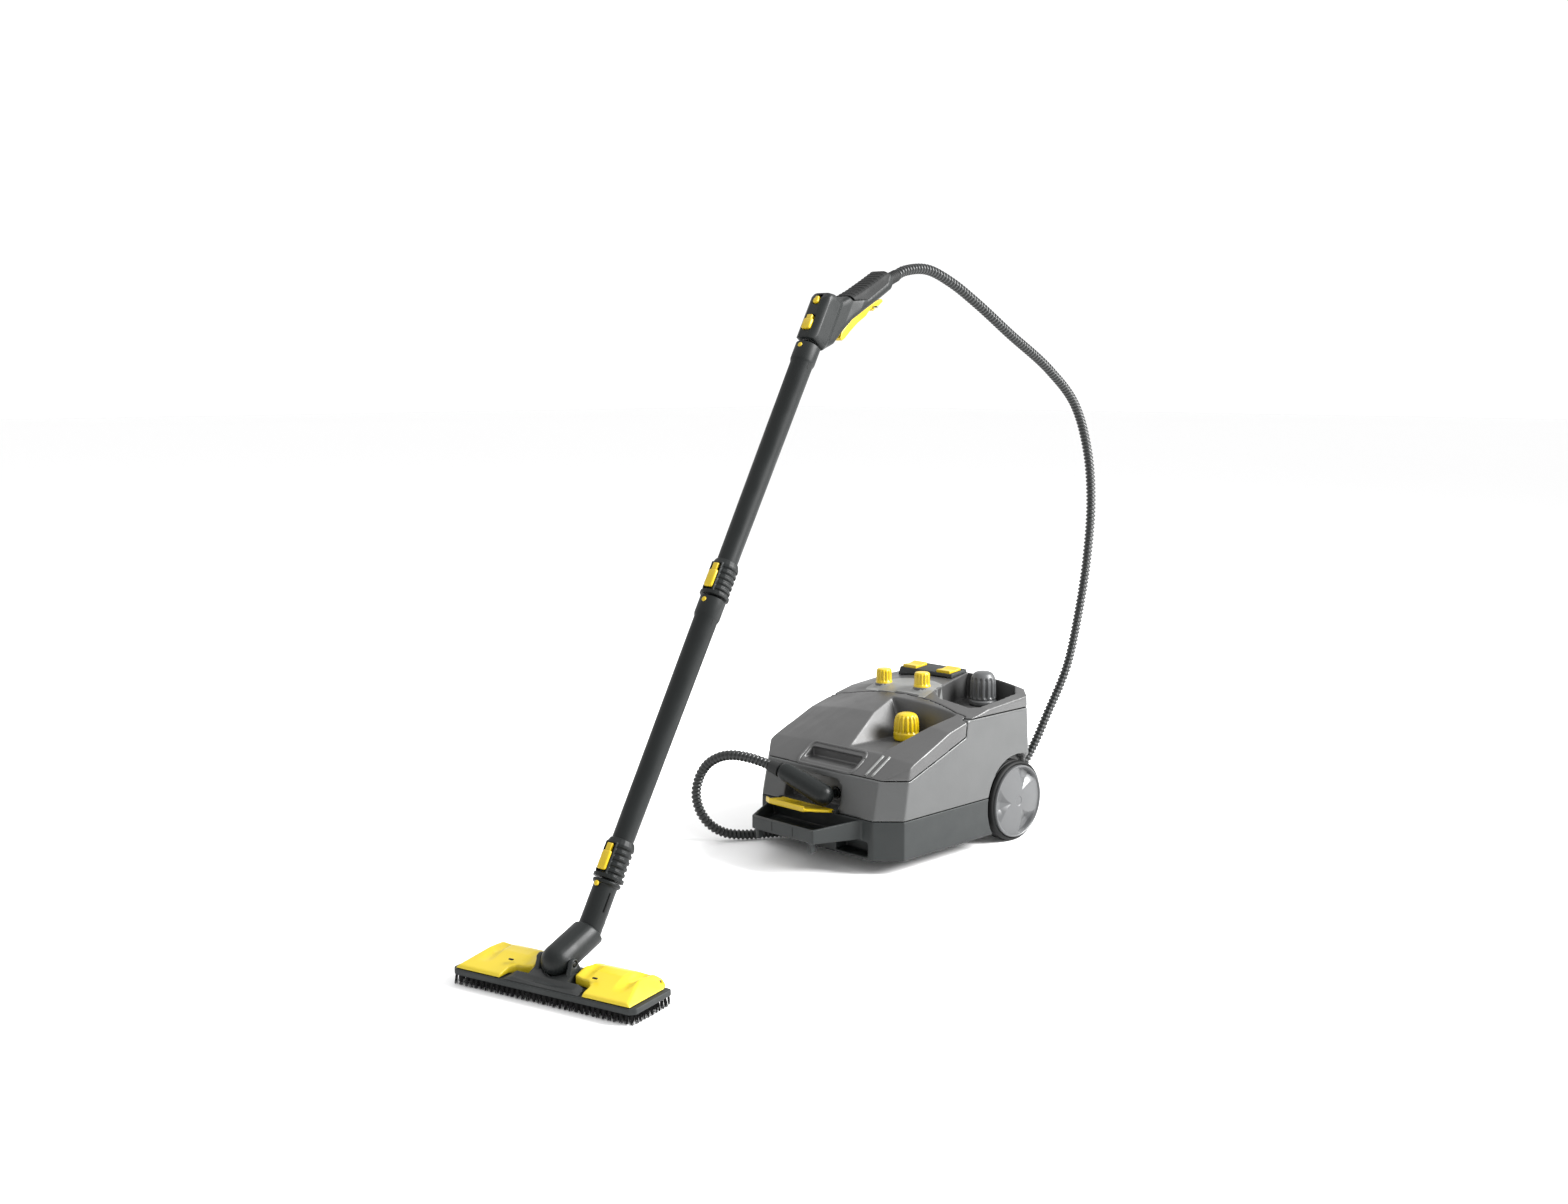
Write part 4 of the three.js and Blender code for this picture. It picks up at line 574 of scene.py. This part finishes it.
hood = moulded(["front_hood"], 0.0014, 16)
cover = moulded(["top_cover"], 0.0014, 10)
moulded(["main_shell"], 0.0015, 8)
moulded(["base_tub"], 0.0014, 6)
for node, voxel, passes in (
    ("switch_block", 0.0009, 8), ("socket_flap", 0.0008, 10), ("steam_plug", 0.0012, 14),
    ("tool_plate", 0.0010, 8), ("tool_neck", 0.0009, 6), ("elbow", 0.0011, 14),
    ("trigger", 0.0007, 8), ("upper_collar", 0.0007, 3), ("lower_collar", 0.0007, 3),
    ("cord_gland", 0.0006, 4), ("switch_rocker_left", 0.0007, 8), ("switch_rocker_right", 0.0007, 8),
):
    moulded([node], voxel, passes)
moulded(["left_clip"], 0.0010, 22, PAINTED_LIGHT_CLIP_YELLOW, clip_shape(1))
moulded(["right_clip"], 0.0010, 22, PAINTED_LIGHT_CLIP_YELLOW, clip_shape(-1))
moulded(["gun_shell_left", "gun_shell_right"], 0.0010, 20, reshape=gun_shape)
moulded(["grip_insert"], 0.0007, 6, reshape=insert_shape)


# ------------------------------------------------------------------ raised and sunk details

def surface_of(thing):
    """The piece's surface, for lines to be dropped on."""
    made = bmesh.new()
    made.from_mesh(thing.data)
    tree = BVHTree.FromBMesh(made)
    made.free()
    return tree


def dropped(tree, place, towards):
    """Where a straight line from the place meets the surface, and the surface's normal there."""
    hit, normal, _, _ = tree.ray_cast(place, towards)
    return hit, normal


def surface_rib(name, tree, path, towards, radius, material, node, sink, sides=10):
    """A low rounded rib that follows a surface along a path given in the machine's millimetres."""
    line = []
    for a, b in zip(path, path[1:]):
        a, b = Vector(a), Vector(b)
        count = max(1, round((b - a).length / 3))
        line += [a.lerp(b, i / count) for i in range(count)]
    line.append(Vector(path[-1]))
    placed = []
    for place in line:
        hit, normal = dropped(tree, at(*place), towards)
        if hit:
            placed.append(hit - normal * radius * sink)
    return settle(swept(name, placed, lambda i: radius, sides, material), node)


SHEET_DEPTH = 0.002

# Where straight lines start from, clear of the machine, in millimetres.
ABOVE = 400
IN_FRONT = -300


def surface_patch(name, tree, outline, towards, lift, material, node, step=4):
    """A thin sheet over a surface, inside an outline given in the machine's millimetres (x, y)."""
    made = bmesh.new()
    made.faces.new([made.verts.new((x, y, 0)) for x, y in outline])
    low_x, high_x = min(p[0] for p in outline), max(p[0] for p in outline)
    low_y, high_y = min(p[1] for p in outline), max(p[1] for p in outline)
    for axis, low, high in (((1, 0, 0), low_x, high_x), ((0, 1, 0), low_y, high_y)):
        for k in range(1, math.ceil((high - low) / step)):
            cut = Vector(axis) * (low + k * step)
            everything = made.verts[:] + made.edges[:] + made.faces[:]
            bmesh.ops.bisect_plane(made, geom=everything, plane_co=cut, plane_no=axis)
    gone = []
    for vertex in made.verts:
        hit, normal = dropped(tree, at(vertex.co.x, vertex.co.y, ABOVE), towards)
        if hit:
            vertex.co = hit + normal * lift
        else:
            gone.append(vertex)
    bmesh.ops.delete(made, geom=gone, context="VERTS")
    rim = bmesh.ops.extrude_face_region(made, geom=made.faces[:])
    lowered = [part for part in rim["geom"] if isinstance(part, bmesh.types.BMVert)]
    bmesh.ops.translate(made, vec=(0, 0, -SHEET_DEPTH), verts=lowered)
    bmesh.ops.recalc_face_normals(made, faces=made.faces)
    thing = piece_of(made, name, [material])
    smooth_by_angle(thing, 40)
    return settle(thing, node)


hood_surface = surface_of(hood)
cover_surface = surface_of(cover)
BACKWARDS = Vector((0, 1, 0))
DOWN = Vector((0, 0, -1))


def ring_path(x0, x1, z0, z1, corner):
    """A closed path round a rectangle with rounded corners, in front of the machine."""
    path = []
    for cx, cz, start in ((x1 - corner, z1 - corner, 0), (x0 + corner, z1 - corner, 90),
                          (x0 + corner, z0 + corner, 180), (x1 - corner, z0 + corner, 270)):
        for k in range(5):
            angle = math.radians(start + 22.5 * k)
            path.append((cx + corner * math.cos(angle), IN_FRONT, cz + corner * math.sin(angle)))
    return [*path, path[0]]


FRAME_HALF_WIDTH = 62
FRAME_LOW = 149
FRAME_HIGH = 176.5
RIB_RADIUS = 0.0026


def make_hood_ribs():
    """The raised frame round the carrying handle's pocket, and the two short ribs beside it."""
    frame_path = ring_path(-FRAME_HALF_WIDTH, FRAME_HALF_WIDTH, FRAME_LOW, FRAME_HIGH, 9)
    surface_rib("handle_frame", hood_surface, frame_path, BACKWARDS, RIB_RADIUS, COVER, "front_hood",
                sink=0.2)
    for k, x in enumerate((88, 101)):
        path = [(x, IN_FRONT, 151), (x + 3, IN_FRONT, 176)]
        surface_rib(f"hood_rib_{k}", hood_surface, path, BACKWARDS, RIB_RADIUS, PALE, "front_hood", sink=0.3)


KNOB_PANEL = [(-98, 62), (-92, 52), (30, 44), (40, 50), (34, 112), (-2, 124), (-64, 124), (-98, 108)]
make_hood_ribs()
surface_patch("knob_panel", cover_surface, KNOB_PANEL, DOWN, 0.0005, PALE, "top_cover")


def dot(name, matrix, radius, height, material, node):
    """A small domed mark, its axis along the matrix's z."""
    profile = [(0.05, -1.2), (radius, -1.2), (radius, height * 0.35), (radius * 0.8, height * 0.8),
               (radius * 0.4, height), (0.05, height)]
    piece = turned(name, profile, material, matrix, 20)
    smooth_by_angle(piece, 50)
    return settle(piece, node)


def out_of_wand(angle, radius, z):
    """A place on the wand's side with z running outwards."""
    turn = Matrix.Rotation(math.radians(angle), 4, "Z") @ Matrix.Rotation(math.radians(90), 4, "Y")
    spot = Vector((radius * math.cos(math.radians(angle)), radius * math.sin(math.radians(angle)), z)) / 1000
    return WAND @ Matrix.Translation(spot) @ turn


NECK_RIM = 19.0
TUBE_RIM = 18.1


def make_joint_marks():
    """The yellow mark and the slot under each joint of the wand, the slot a dark box of painted shade."""
    joints = (("tool_neck", NECK_RIM), ("lower_tube", TUBE_RIM), ("upper_tube", TUBE_RIM))
    for (node, rim), head in zip(joints, COUPLINGS):
        dot(node + "_mark", out_of_wand(-90, rim, head - 8), 3.6, 1.6, YELLOW, node)
        slot = rounded_box(node + "_slot", out_of_wand(-12, rim - 1.9, head - 27), (26, 2.6, 1.6), 0.7, PAINTED_SHADE)
        settle(slot, node)


make_joint_marks()


SADDLE_FRONT = -41
SADDLE_STEP = -26
SADDLE_HALF_WIDTH = 60
SADDLE_REAR_HALF_WIDTH = 31
SADDLE_HOLLOW_RADIUS = 22
PLATE_OVER_BRISTLES = 8.2


def make_saddle():
    """The ramp on the floor tool that rises from its front edge to the elbow."""
    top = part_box("bristle_ring")[1].z * 1000 + PLATE_OVER_BRISTLES
    columns = [x * 1.5 for x in range(-40, 41)]
    rows = [SADDLE_FRONT + k for k in range(36)]

    def height_at(x, y):
        """The ramp's height, or nothing outside its outline."""
        behind = y - SADDLE_FRONT
        if abs(x) > SADDLE_REAR_HALF_WIDTH and y > SADDLE_STEP:
            return None
        if abs(x) > SADDLE_HALF_WIDTH - 0.25 * behind:
            return None
        ramp = max(0, min(1, behind / 26))
        side = max(0, min(1, (SADDLE_HALF_WIDTH - abs(x)) / 12))
        z = top + 0.5 + (3.0 + 9.5 * ramp ** 1.2) * side ** 0.7 * min(1, 0.3 + behind / 5)
        z -= 3.0 * hump(x, 0, 56) * hump(y, -33, 6.5)
        away = math.hypot(x, y - PIVOT_Y)
        if away < SADDLE_HOLLOW_RADIUS:
            z = min(z, PIVOT_Z - math.sqrt(SADDLE_HOLLOW_RADIUS ** 2 - away ** 2))
        return max(z, top + 0.3)

    vertices, faces, index = [], [], {}
    for i, x in enumerate(columns):
        for j, y in enumerate(rows):
            z = height_at(x, y)
            if z is None:
                continue
            index[i, j] = len(vertices)
            vertices += [TOOL @ (Vector((x, y, z)) / 1000), TOOL @ (Vector((x, y, top - 1)) / 1000)]
    for i, j in index:
        corners = [(i, j), (i + 1, j), (i + 1, j + 1), (i, j + 1)]
        if all(c in index for c in corners):
            a, b, c, d = (index[c] for c in corners)
            faces += [(a, b, c, d), (d + 1, c + 1, b + 1, a + 1)]
    tops = faces[::2]
    directed = {(a, b) for face in tops for a, b in zip(face, face[1:] + face[:1])}
    faces += [(b, a, a + 1, b + 1) for a, b in directed if (b, a) not in directed]
    saddle = new_piece("saddle_ramp", vertices, faces, DARK)
    smooth_by_angle(saddle, 50)
    return settle(saddle, "tool_plate")


def make_tray_marks():
    """The two grooves on the tray's front wall, dark strips of painted shade, and the lip along its top."""
    for k, x in enumerate((-23, 23)):
        groove = rounded_box(f"tray_groove_{k}", local(MACHINE, x, -241, 66), (1.4, 0.9, 15), 0.4, PAINTED_SHADE)
        settle(groove, "base_tub")
    lip = rounded_box("tray_lip", local(MACHINE, 0, -240.6, 75.4), (132, 2.4, 2.2), 1.0, DARK)
    settle(lip, "base_tub")


# Each clip's slot is a dark box of painted shade.
def make_clip_slots():
    for sign, node in ((1, "left_clip"), (-1, "right_clip")):
        slot = rounded_box(node + "_slot", local(TOOL, sign * 66, -16, 38.6), (7, 3, 1.6), 0.6, PAINTED_SHADE)
        settle(slot, node)


make_saddle()
make_tray_marks()
make_clip_slots()


# ------------------------------------------------------------------ caps and knobs

def fluted(name, node, x, y, profile, lobes, depth, low, high, material):
    """A turned cap whose side is fluted between two heights, fading out at both ends."""
    def shape(angle, radius, height):
        if not low < height < high:
            return radius
        fade = min(1, (height - low) / 4, (high - height) / 5)
        wave = math.cos(lobes * angle)
        return radius - depth * fade * (0.5 - 0.5 * max(-1, min(1, wave * 1.8)))

    cap = turned(name, profile, material, local(MACHINE, x, y, 0), lobes * 12, shape)
    return settle(cap, node, hides=[node])


def rounded_profile(points, radius, steps=4):
    """The profile with its inner corners turned on a small radius."""
    result = [points[0]]
    for before, corner, after in zip(points, points[1:], points[2:]):
        a, b, c = Vector(before), Vector(corner), Vector(after)
        reach = min(radius, (b - a).length / 2.2, (c - b).length / 2.2)
        p, q = b + (a - b).normalized() * reach, b + (c - b).normalized() * reach
        for i in range(steps + 1):
            t = i / steps
            result.append(tuple(p * (1 - t) ** 2 + b * 2 * t * (1 - t) + q * t ** 2))
    return [*result, points[-1]]


def subdivided(points, step):
    """The profile with points at most a step apart."""
    result = []
    for a, b in zip(points, points[1:]):
        a, b = Vector(a), Vector(b)
        count = max(1, math.ceil((b - a).length / step))
        result += [tuple(a.lerp(b, i / count)) for i in range(count)]
    return [*result, points[-1]]


def cap_profile(points, radius):
    """The profile rounded, with points close enough for the flutes to fade along it."""
    return subdivided(rounded_profile(points, radius), 1.6)


def span_of(node):
    """The lowest and highest z of a node, in millimetres."""
    low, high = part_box(node)
    return low.z * 1000, high.z * 1000


BOILER_CAP_X = 45
BOILER_CAP_Y = 2
TANK_CAP_X = 66
TANK_CAP_Y = 175
KNOB_Y = 80
KNOB_HEIGHT = 27.4


def make_boiler_cap():
    low, high = span_of("boiler_cap")
    profile = cap_profile([
        (0.5, low + 0.4), (19.5, low + 0.4), (21.2, low + 3), (21.2, low + 12), (20.2, low + 14.5),
        (21.0, low + 18), (20.4, low + 30), (18.6, low + 39), (15.0, high - 2.4), (9, high - 0.4),
        (0.5, high - 0.1),
    ], 2.2)
    fluted("boiler_cap_fluted", "boiler_cap", BOILER_CAP_X, BOILER_CAP_Y, profile,
           lobes=16, depth=2.4, low=low + 13, high=high - 3, material=YELLOW)


def make_tank_cap():
    low, high = span_of("tank_cap")
    profile = cap_profile([
        (0.5, low + 0.4), (22.6, low + 0.4), (23.8, low + 2.5), (23.8, low + 7.5), (21.2, low + 9.5),
        (22.6, low + 12), (21.8, low + 40), (20.2, low + 48), (15.5, high - 3), (9, high - 0.5),
        (0.5, high - 0.1),
    ], 2.4)
    fluted("tank_cap_fluted", "tank_cap", TANK_CAP_X, TANK_CAP_Y, profile,
           lobes=14, depth=2.4, low=low + 11, high=high - 9, material=TRIM)


def make_knob(node, x):
    """A fluted knob on its slim spindle."""
    low, high = span_of(node)
    foot = high - KNOB_HEIGHT
    profile = cap_profile([
        (0.5, low + 0.2), (3.9, low + 0.2), (3.9, foot), (13.4, foot), (14.4, foot + 1.2), (14.2, foot + 5),
        (13.4, foot + 7), (13.2, high - 4), (11.8, high - 0.8), (10, high - 0.2), (0.5, high - 0.2),
    ], 1.2)
    fluted(node + "_fluted", node, x, KNOB_Y, profile,
           lobes=14, depth=1.5, low=foot + 5, high=high - 1, material=YELLOW)


make_boiler_cap()
make_tank_cap()
make_knob("steam_knob", 11)
make_knob("hydro_knob", -75)


# ------------------------------------------------------------------ wheels

WHEEL_RADIUS = 67.7
TREAD_RADIUS = 67.6
GROOVE_RADIUS = 65.6


def turned_ring(name, profile, material, matrix, segments):
    """A turned ring whose profile closes on itself."""
    vertices, faces = [], []
    count = len(profile)
    for radius, height in profile:
        for s in range(segments):
            angle = 2 * math.pi * s / segments
            spot = Vector((radius * math.cos(angle), radius * math.sin(angle), height))
            vertices.append(matrix @ (spot / 1000))
    for i in range(count):
        for s in range(segments):
            t, j = (s + 1) % segments, (i + 1) % count
            faces.append((i * segments + s, i * segments + t, j * segments + t, j * segments + s))
    return new_piece(name, vertices, faces, material)


def wheel_matrix(sign):
    """On the axle, with z running out to the wheel from the machine's middle plane."""
    return Matrix.Translation(at(0, AXLE_Y, WHEEL_RADIUS)) @ Matrix.Rotation(math.radians(90 * sign), 4, "Y")


HUB_RIM = 56
HUB_DOME = 2.2
FACET_APEX = 19
FACET_ANGLES = (28, 148, 268)
FACET_HALF_ANGLE = 0.58
FACET_DEPTH = 6.2


def facet_dip(angle, radius):
    """Depth of the three wedge-shaped facets that widen towards the rim."""
    if not FACET_APEX < radius < HUB_RIM:
        return 0
    share = (radius - FACET_APEX) / (HUB_RIM - FACET_APEX)
    for middle in FACET_ANGLES:
        away = abs((angle - math.radians(middle) + math.pi) % (2 * math.pi) - math.pi)
        reach = FACET_HALF_ANGLE * share ** 0.75
        if away < reach:
            edge = min(1, (HUB_RIM - radius) / 2.0)
            return FACET_DEPTH * min(1, 1.5 * (1 - away / reach)) * edge * min(1, share * 1.6)
    return 0


def reach_of(node):
    """How near to the machine's middle plane a node comes and how far from it, in millimetres."""
    ends = [abs(corner.x - ORIGIN.x) * 1000 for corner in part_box(node)]
    return min(ends), max(ends)


def make_tyre(side, sign):
    """A tyre with three grooves round its tread."""
    back, face = reach_of(side + "_wheel_tyre")
    tread = [(61.4, face - 3.4), (62.4, face - 2.4), (64.2, face - 2.2), (66.4, face - 4.2),
             (TREAD_RADIUS, face - 8)]
    for k in range(1, 4):
        middle = face - 4 - k * (face - back - 8) / 4
        tread += [(TREAD_RADIUS, middle + 2.6), (GROOVE_RADIUS, middle + 1.4), (GROOVE_RADIUS, middle - 1.4),
                  (TREAD_RADIUS, middle - 2.6)]
    tread += [(TREAD_RADIUS, back + 7), (66.2, back + 3.4), (63.4, back + 2.4), (61.4, back + 3.2)]
    profile = subdivided(tread + [tread[0]], 3)[:-1]
    tyre = turned_ring(side + "_tyre", profile, TYRE, wheel_matrix(sign), 96)
    smooth_by_angle(tyre, 50)
    settle(tyre, side + "_wheel_tyre", hides=[side + "_wheel_tyre"])


def make_hub(side, sign):
    """A domed hub with three sunk facets."""
    hub_back, hub_face = reach_of(side + "_wheel_hub")
    matrix = wheel_matrix(sign)
    rings = [(0.4, hub_back + 0.4), (54, hub_back + 0.4), (60.6, hub_back + 6), (60.8, hub_face - 2.4),
             (60.0, hub_face - 0.5), (58.4, hub_face - 0.3), (57.4, hub_face - 1.0), (56.6, hub_face - 2.4)]
    rings += [(r, hub_face - 2.6 + HUB_DOME * (1 - (r / HUB_RIM) ** 2)) for r in range(HUB_RIM, 8, -1)]
    rings += [(7.6, hub_face - 1.2), (0.4, hub_face - 1.0)]
    hub = turned(side + "_hub_cap", rings, TRIM, matrix, 240)
    inverse = matrix.inverted()
    for vertex in hub.data.vertices:
        place = inverse @ vertex.co * 1000
        radius = math.hypot(place.x, place.y)
        if place.z > hub_face - 6 and radius < HUB_RIM:
            outward = math.atan2(-place.x * sign, place.y)
            place.z -= facet_dip(math.pi / 2 - outward, radius)
            vertex.co = matrix @ (place / 1000)
    smooth_by_angle(hub, 22)
    settle(hub, side + "_wheel_hub", hides=[side + "_wheel_hub"])


for side, sign in (("left", 1), ("right", -1)):
    make_tyre(side, sign)
    make_hub(side, sign)


# ------------------------------------------------------------------ tubes and buttons

TUBE_END_RADIUS = 14.6
TUBE_HEAD_RADIUS = 18.4
SPIGOT_RADIUS = 8.6
SPIGOT_LENGTH = 28
COLLAR_LENGTH = 54


def make_tube(name, node, foot, head):
    """One extension tube: a spigot at its foot, a slim part inside the collar, then a slow flare."""
    profile = [
        (0.5, foot - SPIGOT_LENGTH), (7.6, foot - SPIGOT_LENGTH), (SPIGOT_RADIUS, foot - SPIGOT_LENGTH + 1.5),
        (SPIGOT_RADIUS, foot), (14.4, foot), (TUBE_END_RADIUS, foot + 0.4),
        (TUBE_END_RADIUS, foot + COLLAR_LENGTH), (14.8, foot + COLLAR_LENGTH + 4), (16.7, head - 31),
        (17.4, head - 29.5), (TUBE_HEAD_RADIUS, head - 26), (TUBE_HEAD_RADIUS, head - 1.0),
        (17.6, head - 0.2), (0.5, head - 0.2),
    ]
    tube = turned(name, profile, BLACK, WAND, 96)
    smooth_by_angle(tube, 25)
    return settle(tube, node, hides=[node])


make_tube("lower_tube_body", "lower_tube", COUPLINGS[0] + 2, COUPLINGS[1] - 0.3)
make_tube("upper_tube_body", "upper_tube", COUPLINGS[1] + 2, COUPLINGS[2] - 0.3)


def box_in(matrix, node):
    """A node's lowest and highest corner in the matrix's own axes, in millimetres."""
    inverse = matrix.inverted()
    places = [inverse @ vertex.co * 1000 for vertex in frame["nodes"][node].data.vertices]
    low = Vector([min(place[i] for place in places) for i in range(3)])
    high = Vector([max(place[i] for place in places) for i in range(3)])
    return low, high


PAD_SHARE = 0.72
TAB_SHARE = 0.4


def make_button(name, node):
    """A push button with a broad pad, ridges on it and a narrower tab above."""
    low, high = box_in(WAND, node)
    middle = (low + high) / 2
    size = high - low
    pad_height = size.z * PAD_SHARE
    tab_height = size.z * TAB_SHARE
    pad_place = local(WAND, middle.x, middle.y, low.z + pad_height / 2)
    tab_place = local(WAND, middle.x, middle.y + 0.5, high.z - tab_height / 2)
    pieces = [rounded_box(name + "_pad", pad_place, (size.x, size.y, pad_height), 2.6, YELLOW),
              rounded_box(name + "_tab", tab_place, (size.x * 0.62, size.y - 1.2, tab_height), 1.3, YELLOW)]
    for k in range(4):
        ridge_place = local(WAND, middle.x, low.y + 0.5, low.z + pad_height * (0.3 + 0.14 * k))
        pieces.append(rounded_box(f"{name}_ridge_{k}", ridge_place, (size.x * 0.7, 1.0, 0.9), 0.4, YELLOW))
    return settle(joined(name, pieces), node, hides=[node])


for node in ("upper_release_button", "lower_release_button", "gun_release_button", "lock_button"):
    make_button(node + "_ridged", node)


# ------------------------------------------------------------------ bristles

TUFT_ROWS = 4
ROW_PITCH = 6.4
TUFT_RADIUS = 1.5
TUFT_LEAN = 1.1
FIBRES_PER_TUFT = 20
FIBRE_RADIUS = 0.32


def make_bristles():
    """Tufts of loose fibres in four rows, one inside another, round the plate."""
    vertices, faces = [], []
    low_z = 0.4
    high_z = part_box("bristle_ring")[1].z * 1000 - 0.1
    low, high = box_in(TOOL, "bristle_ring")
    half_x = max(-low.x, high.x)
    half_y = max(-low.y, high.y)

    def fibre(foot, tip, radius):
        start = len(vertices)
        for place, share in ((foot, 1.0), (tip, 0.7)):
            for s in range(3):
                angle = 2 * math.pi * s / 3
                offset = Vector((math.cos(angle), math.sin(angle), 0)) * radius * share
                vertices.append(TOOL @ ((place + offset) / 1000))
        for s in range(3):
            t = (s + 1) % 3
            faces.append((start + s, start + t, start + 3 + t, start + 3 + s))
        faces.append((start + 5, start + 4, start + 3))
        faces.append((start, start + 1, start + 2))

    def tuft(x, y, out_x, out_y):
        for _ in range(FIBRES_PER_TUFT):
            angle, reach = random.uniform(0, 2 * math.pi), random.uniform(0, 1) ** 0.5
            outwards = Vector((math.cos(angle), math.sin(angle), 0)) * reach
            root = Vector((x, y, high_z)) + outwards * TUFT_RADIUS
            tip = root + outwards * TUFT_LEAN + Vector((out_x, out_y, 0))
            tip.z = low_z + random.uniform(0, 0.9)
            tip.x = max(-half_x, min(half_x, tip.x))
            tip.y = max(-half_y, min(half_y, tip.y))
            fibre(root, tip, FIBRE_RADIUS)

    for row in range(TUFT_ROWS):
        inset = 3.4 + row * ROW_PITCH
        count_x = 34 - row * 2
        for side in (-1, 1):
            for k in range(count_x):
                x = -half_x + inset + (2 * half_x - 2 * inset) * k / (count_x - 1)
                tuft(x, side * (half_y - inset), 0, side * (1.2 if row == 0 else 0.2))
        count_y = 10 - row
        for side in (-1, 1):
            for k in range(1, count_y):
                y = -half_y + inset + (2 * half_y - 2 * inset) * k / count_y
                tuft(side * (half_x - inset), y, side * (1.6 if row == 0 else 0.3), 0)
    bristles = new_piece("bristle_tufts", vertices, faces, BRISTLE, smooth=False)
    return settle(bristles, "bristle_ring", hides=["bristle_ring"])


make_bristles()


# ------------------------------------------------------------------ floor

def make_floor():
    """A plain pale floor, out of the part."""
    material = bpy.data.materials.new("pale_floor")
    material.use_nodes = True
    nodes, links = material.node_tree.nodes, material.node_tree.links
    noise = nodes.new("ShaderNodeTexNoise")
    noise.inputs["Scale"].default_value = 3
    ramp = nodes.new("ShaderNodeValToRGB")
    ramp.color_ramp.elements[0].color = (0.90, 0.90, 0.90, 1)
    ramp.color_ramp.elements[1].color = (0.92, 0.92, 0.92, 1)
    links.new(noise.outputs["Fac"], ramp.inputs["Fac"])
    links.new(ramp.outputs["Color"], nodes["Principled BSDF"].inputs["Base Color"])
    nodes["Principled BSDF"].inputs["Roughness"].default_value = 0.9
    corners = [(-30, -30, 0), (30, -30, 0), (30, 30, 0), (-30, 30, 0)]
    new_piece("studio_floor", corners, [(0, 1, 2, 3)], material)


make_floor()
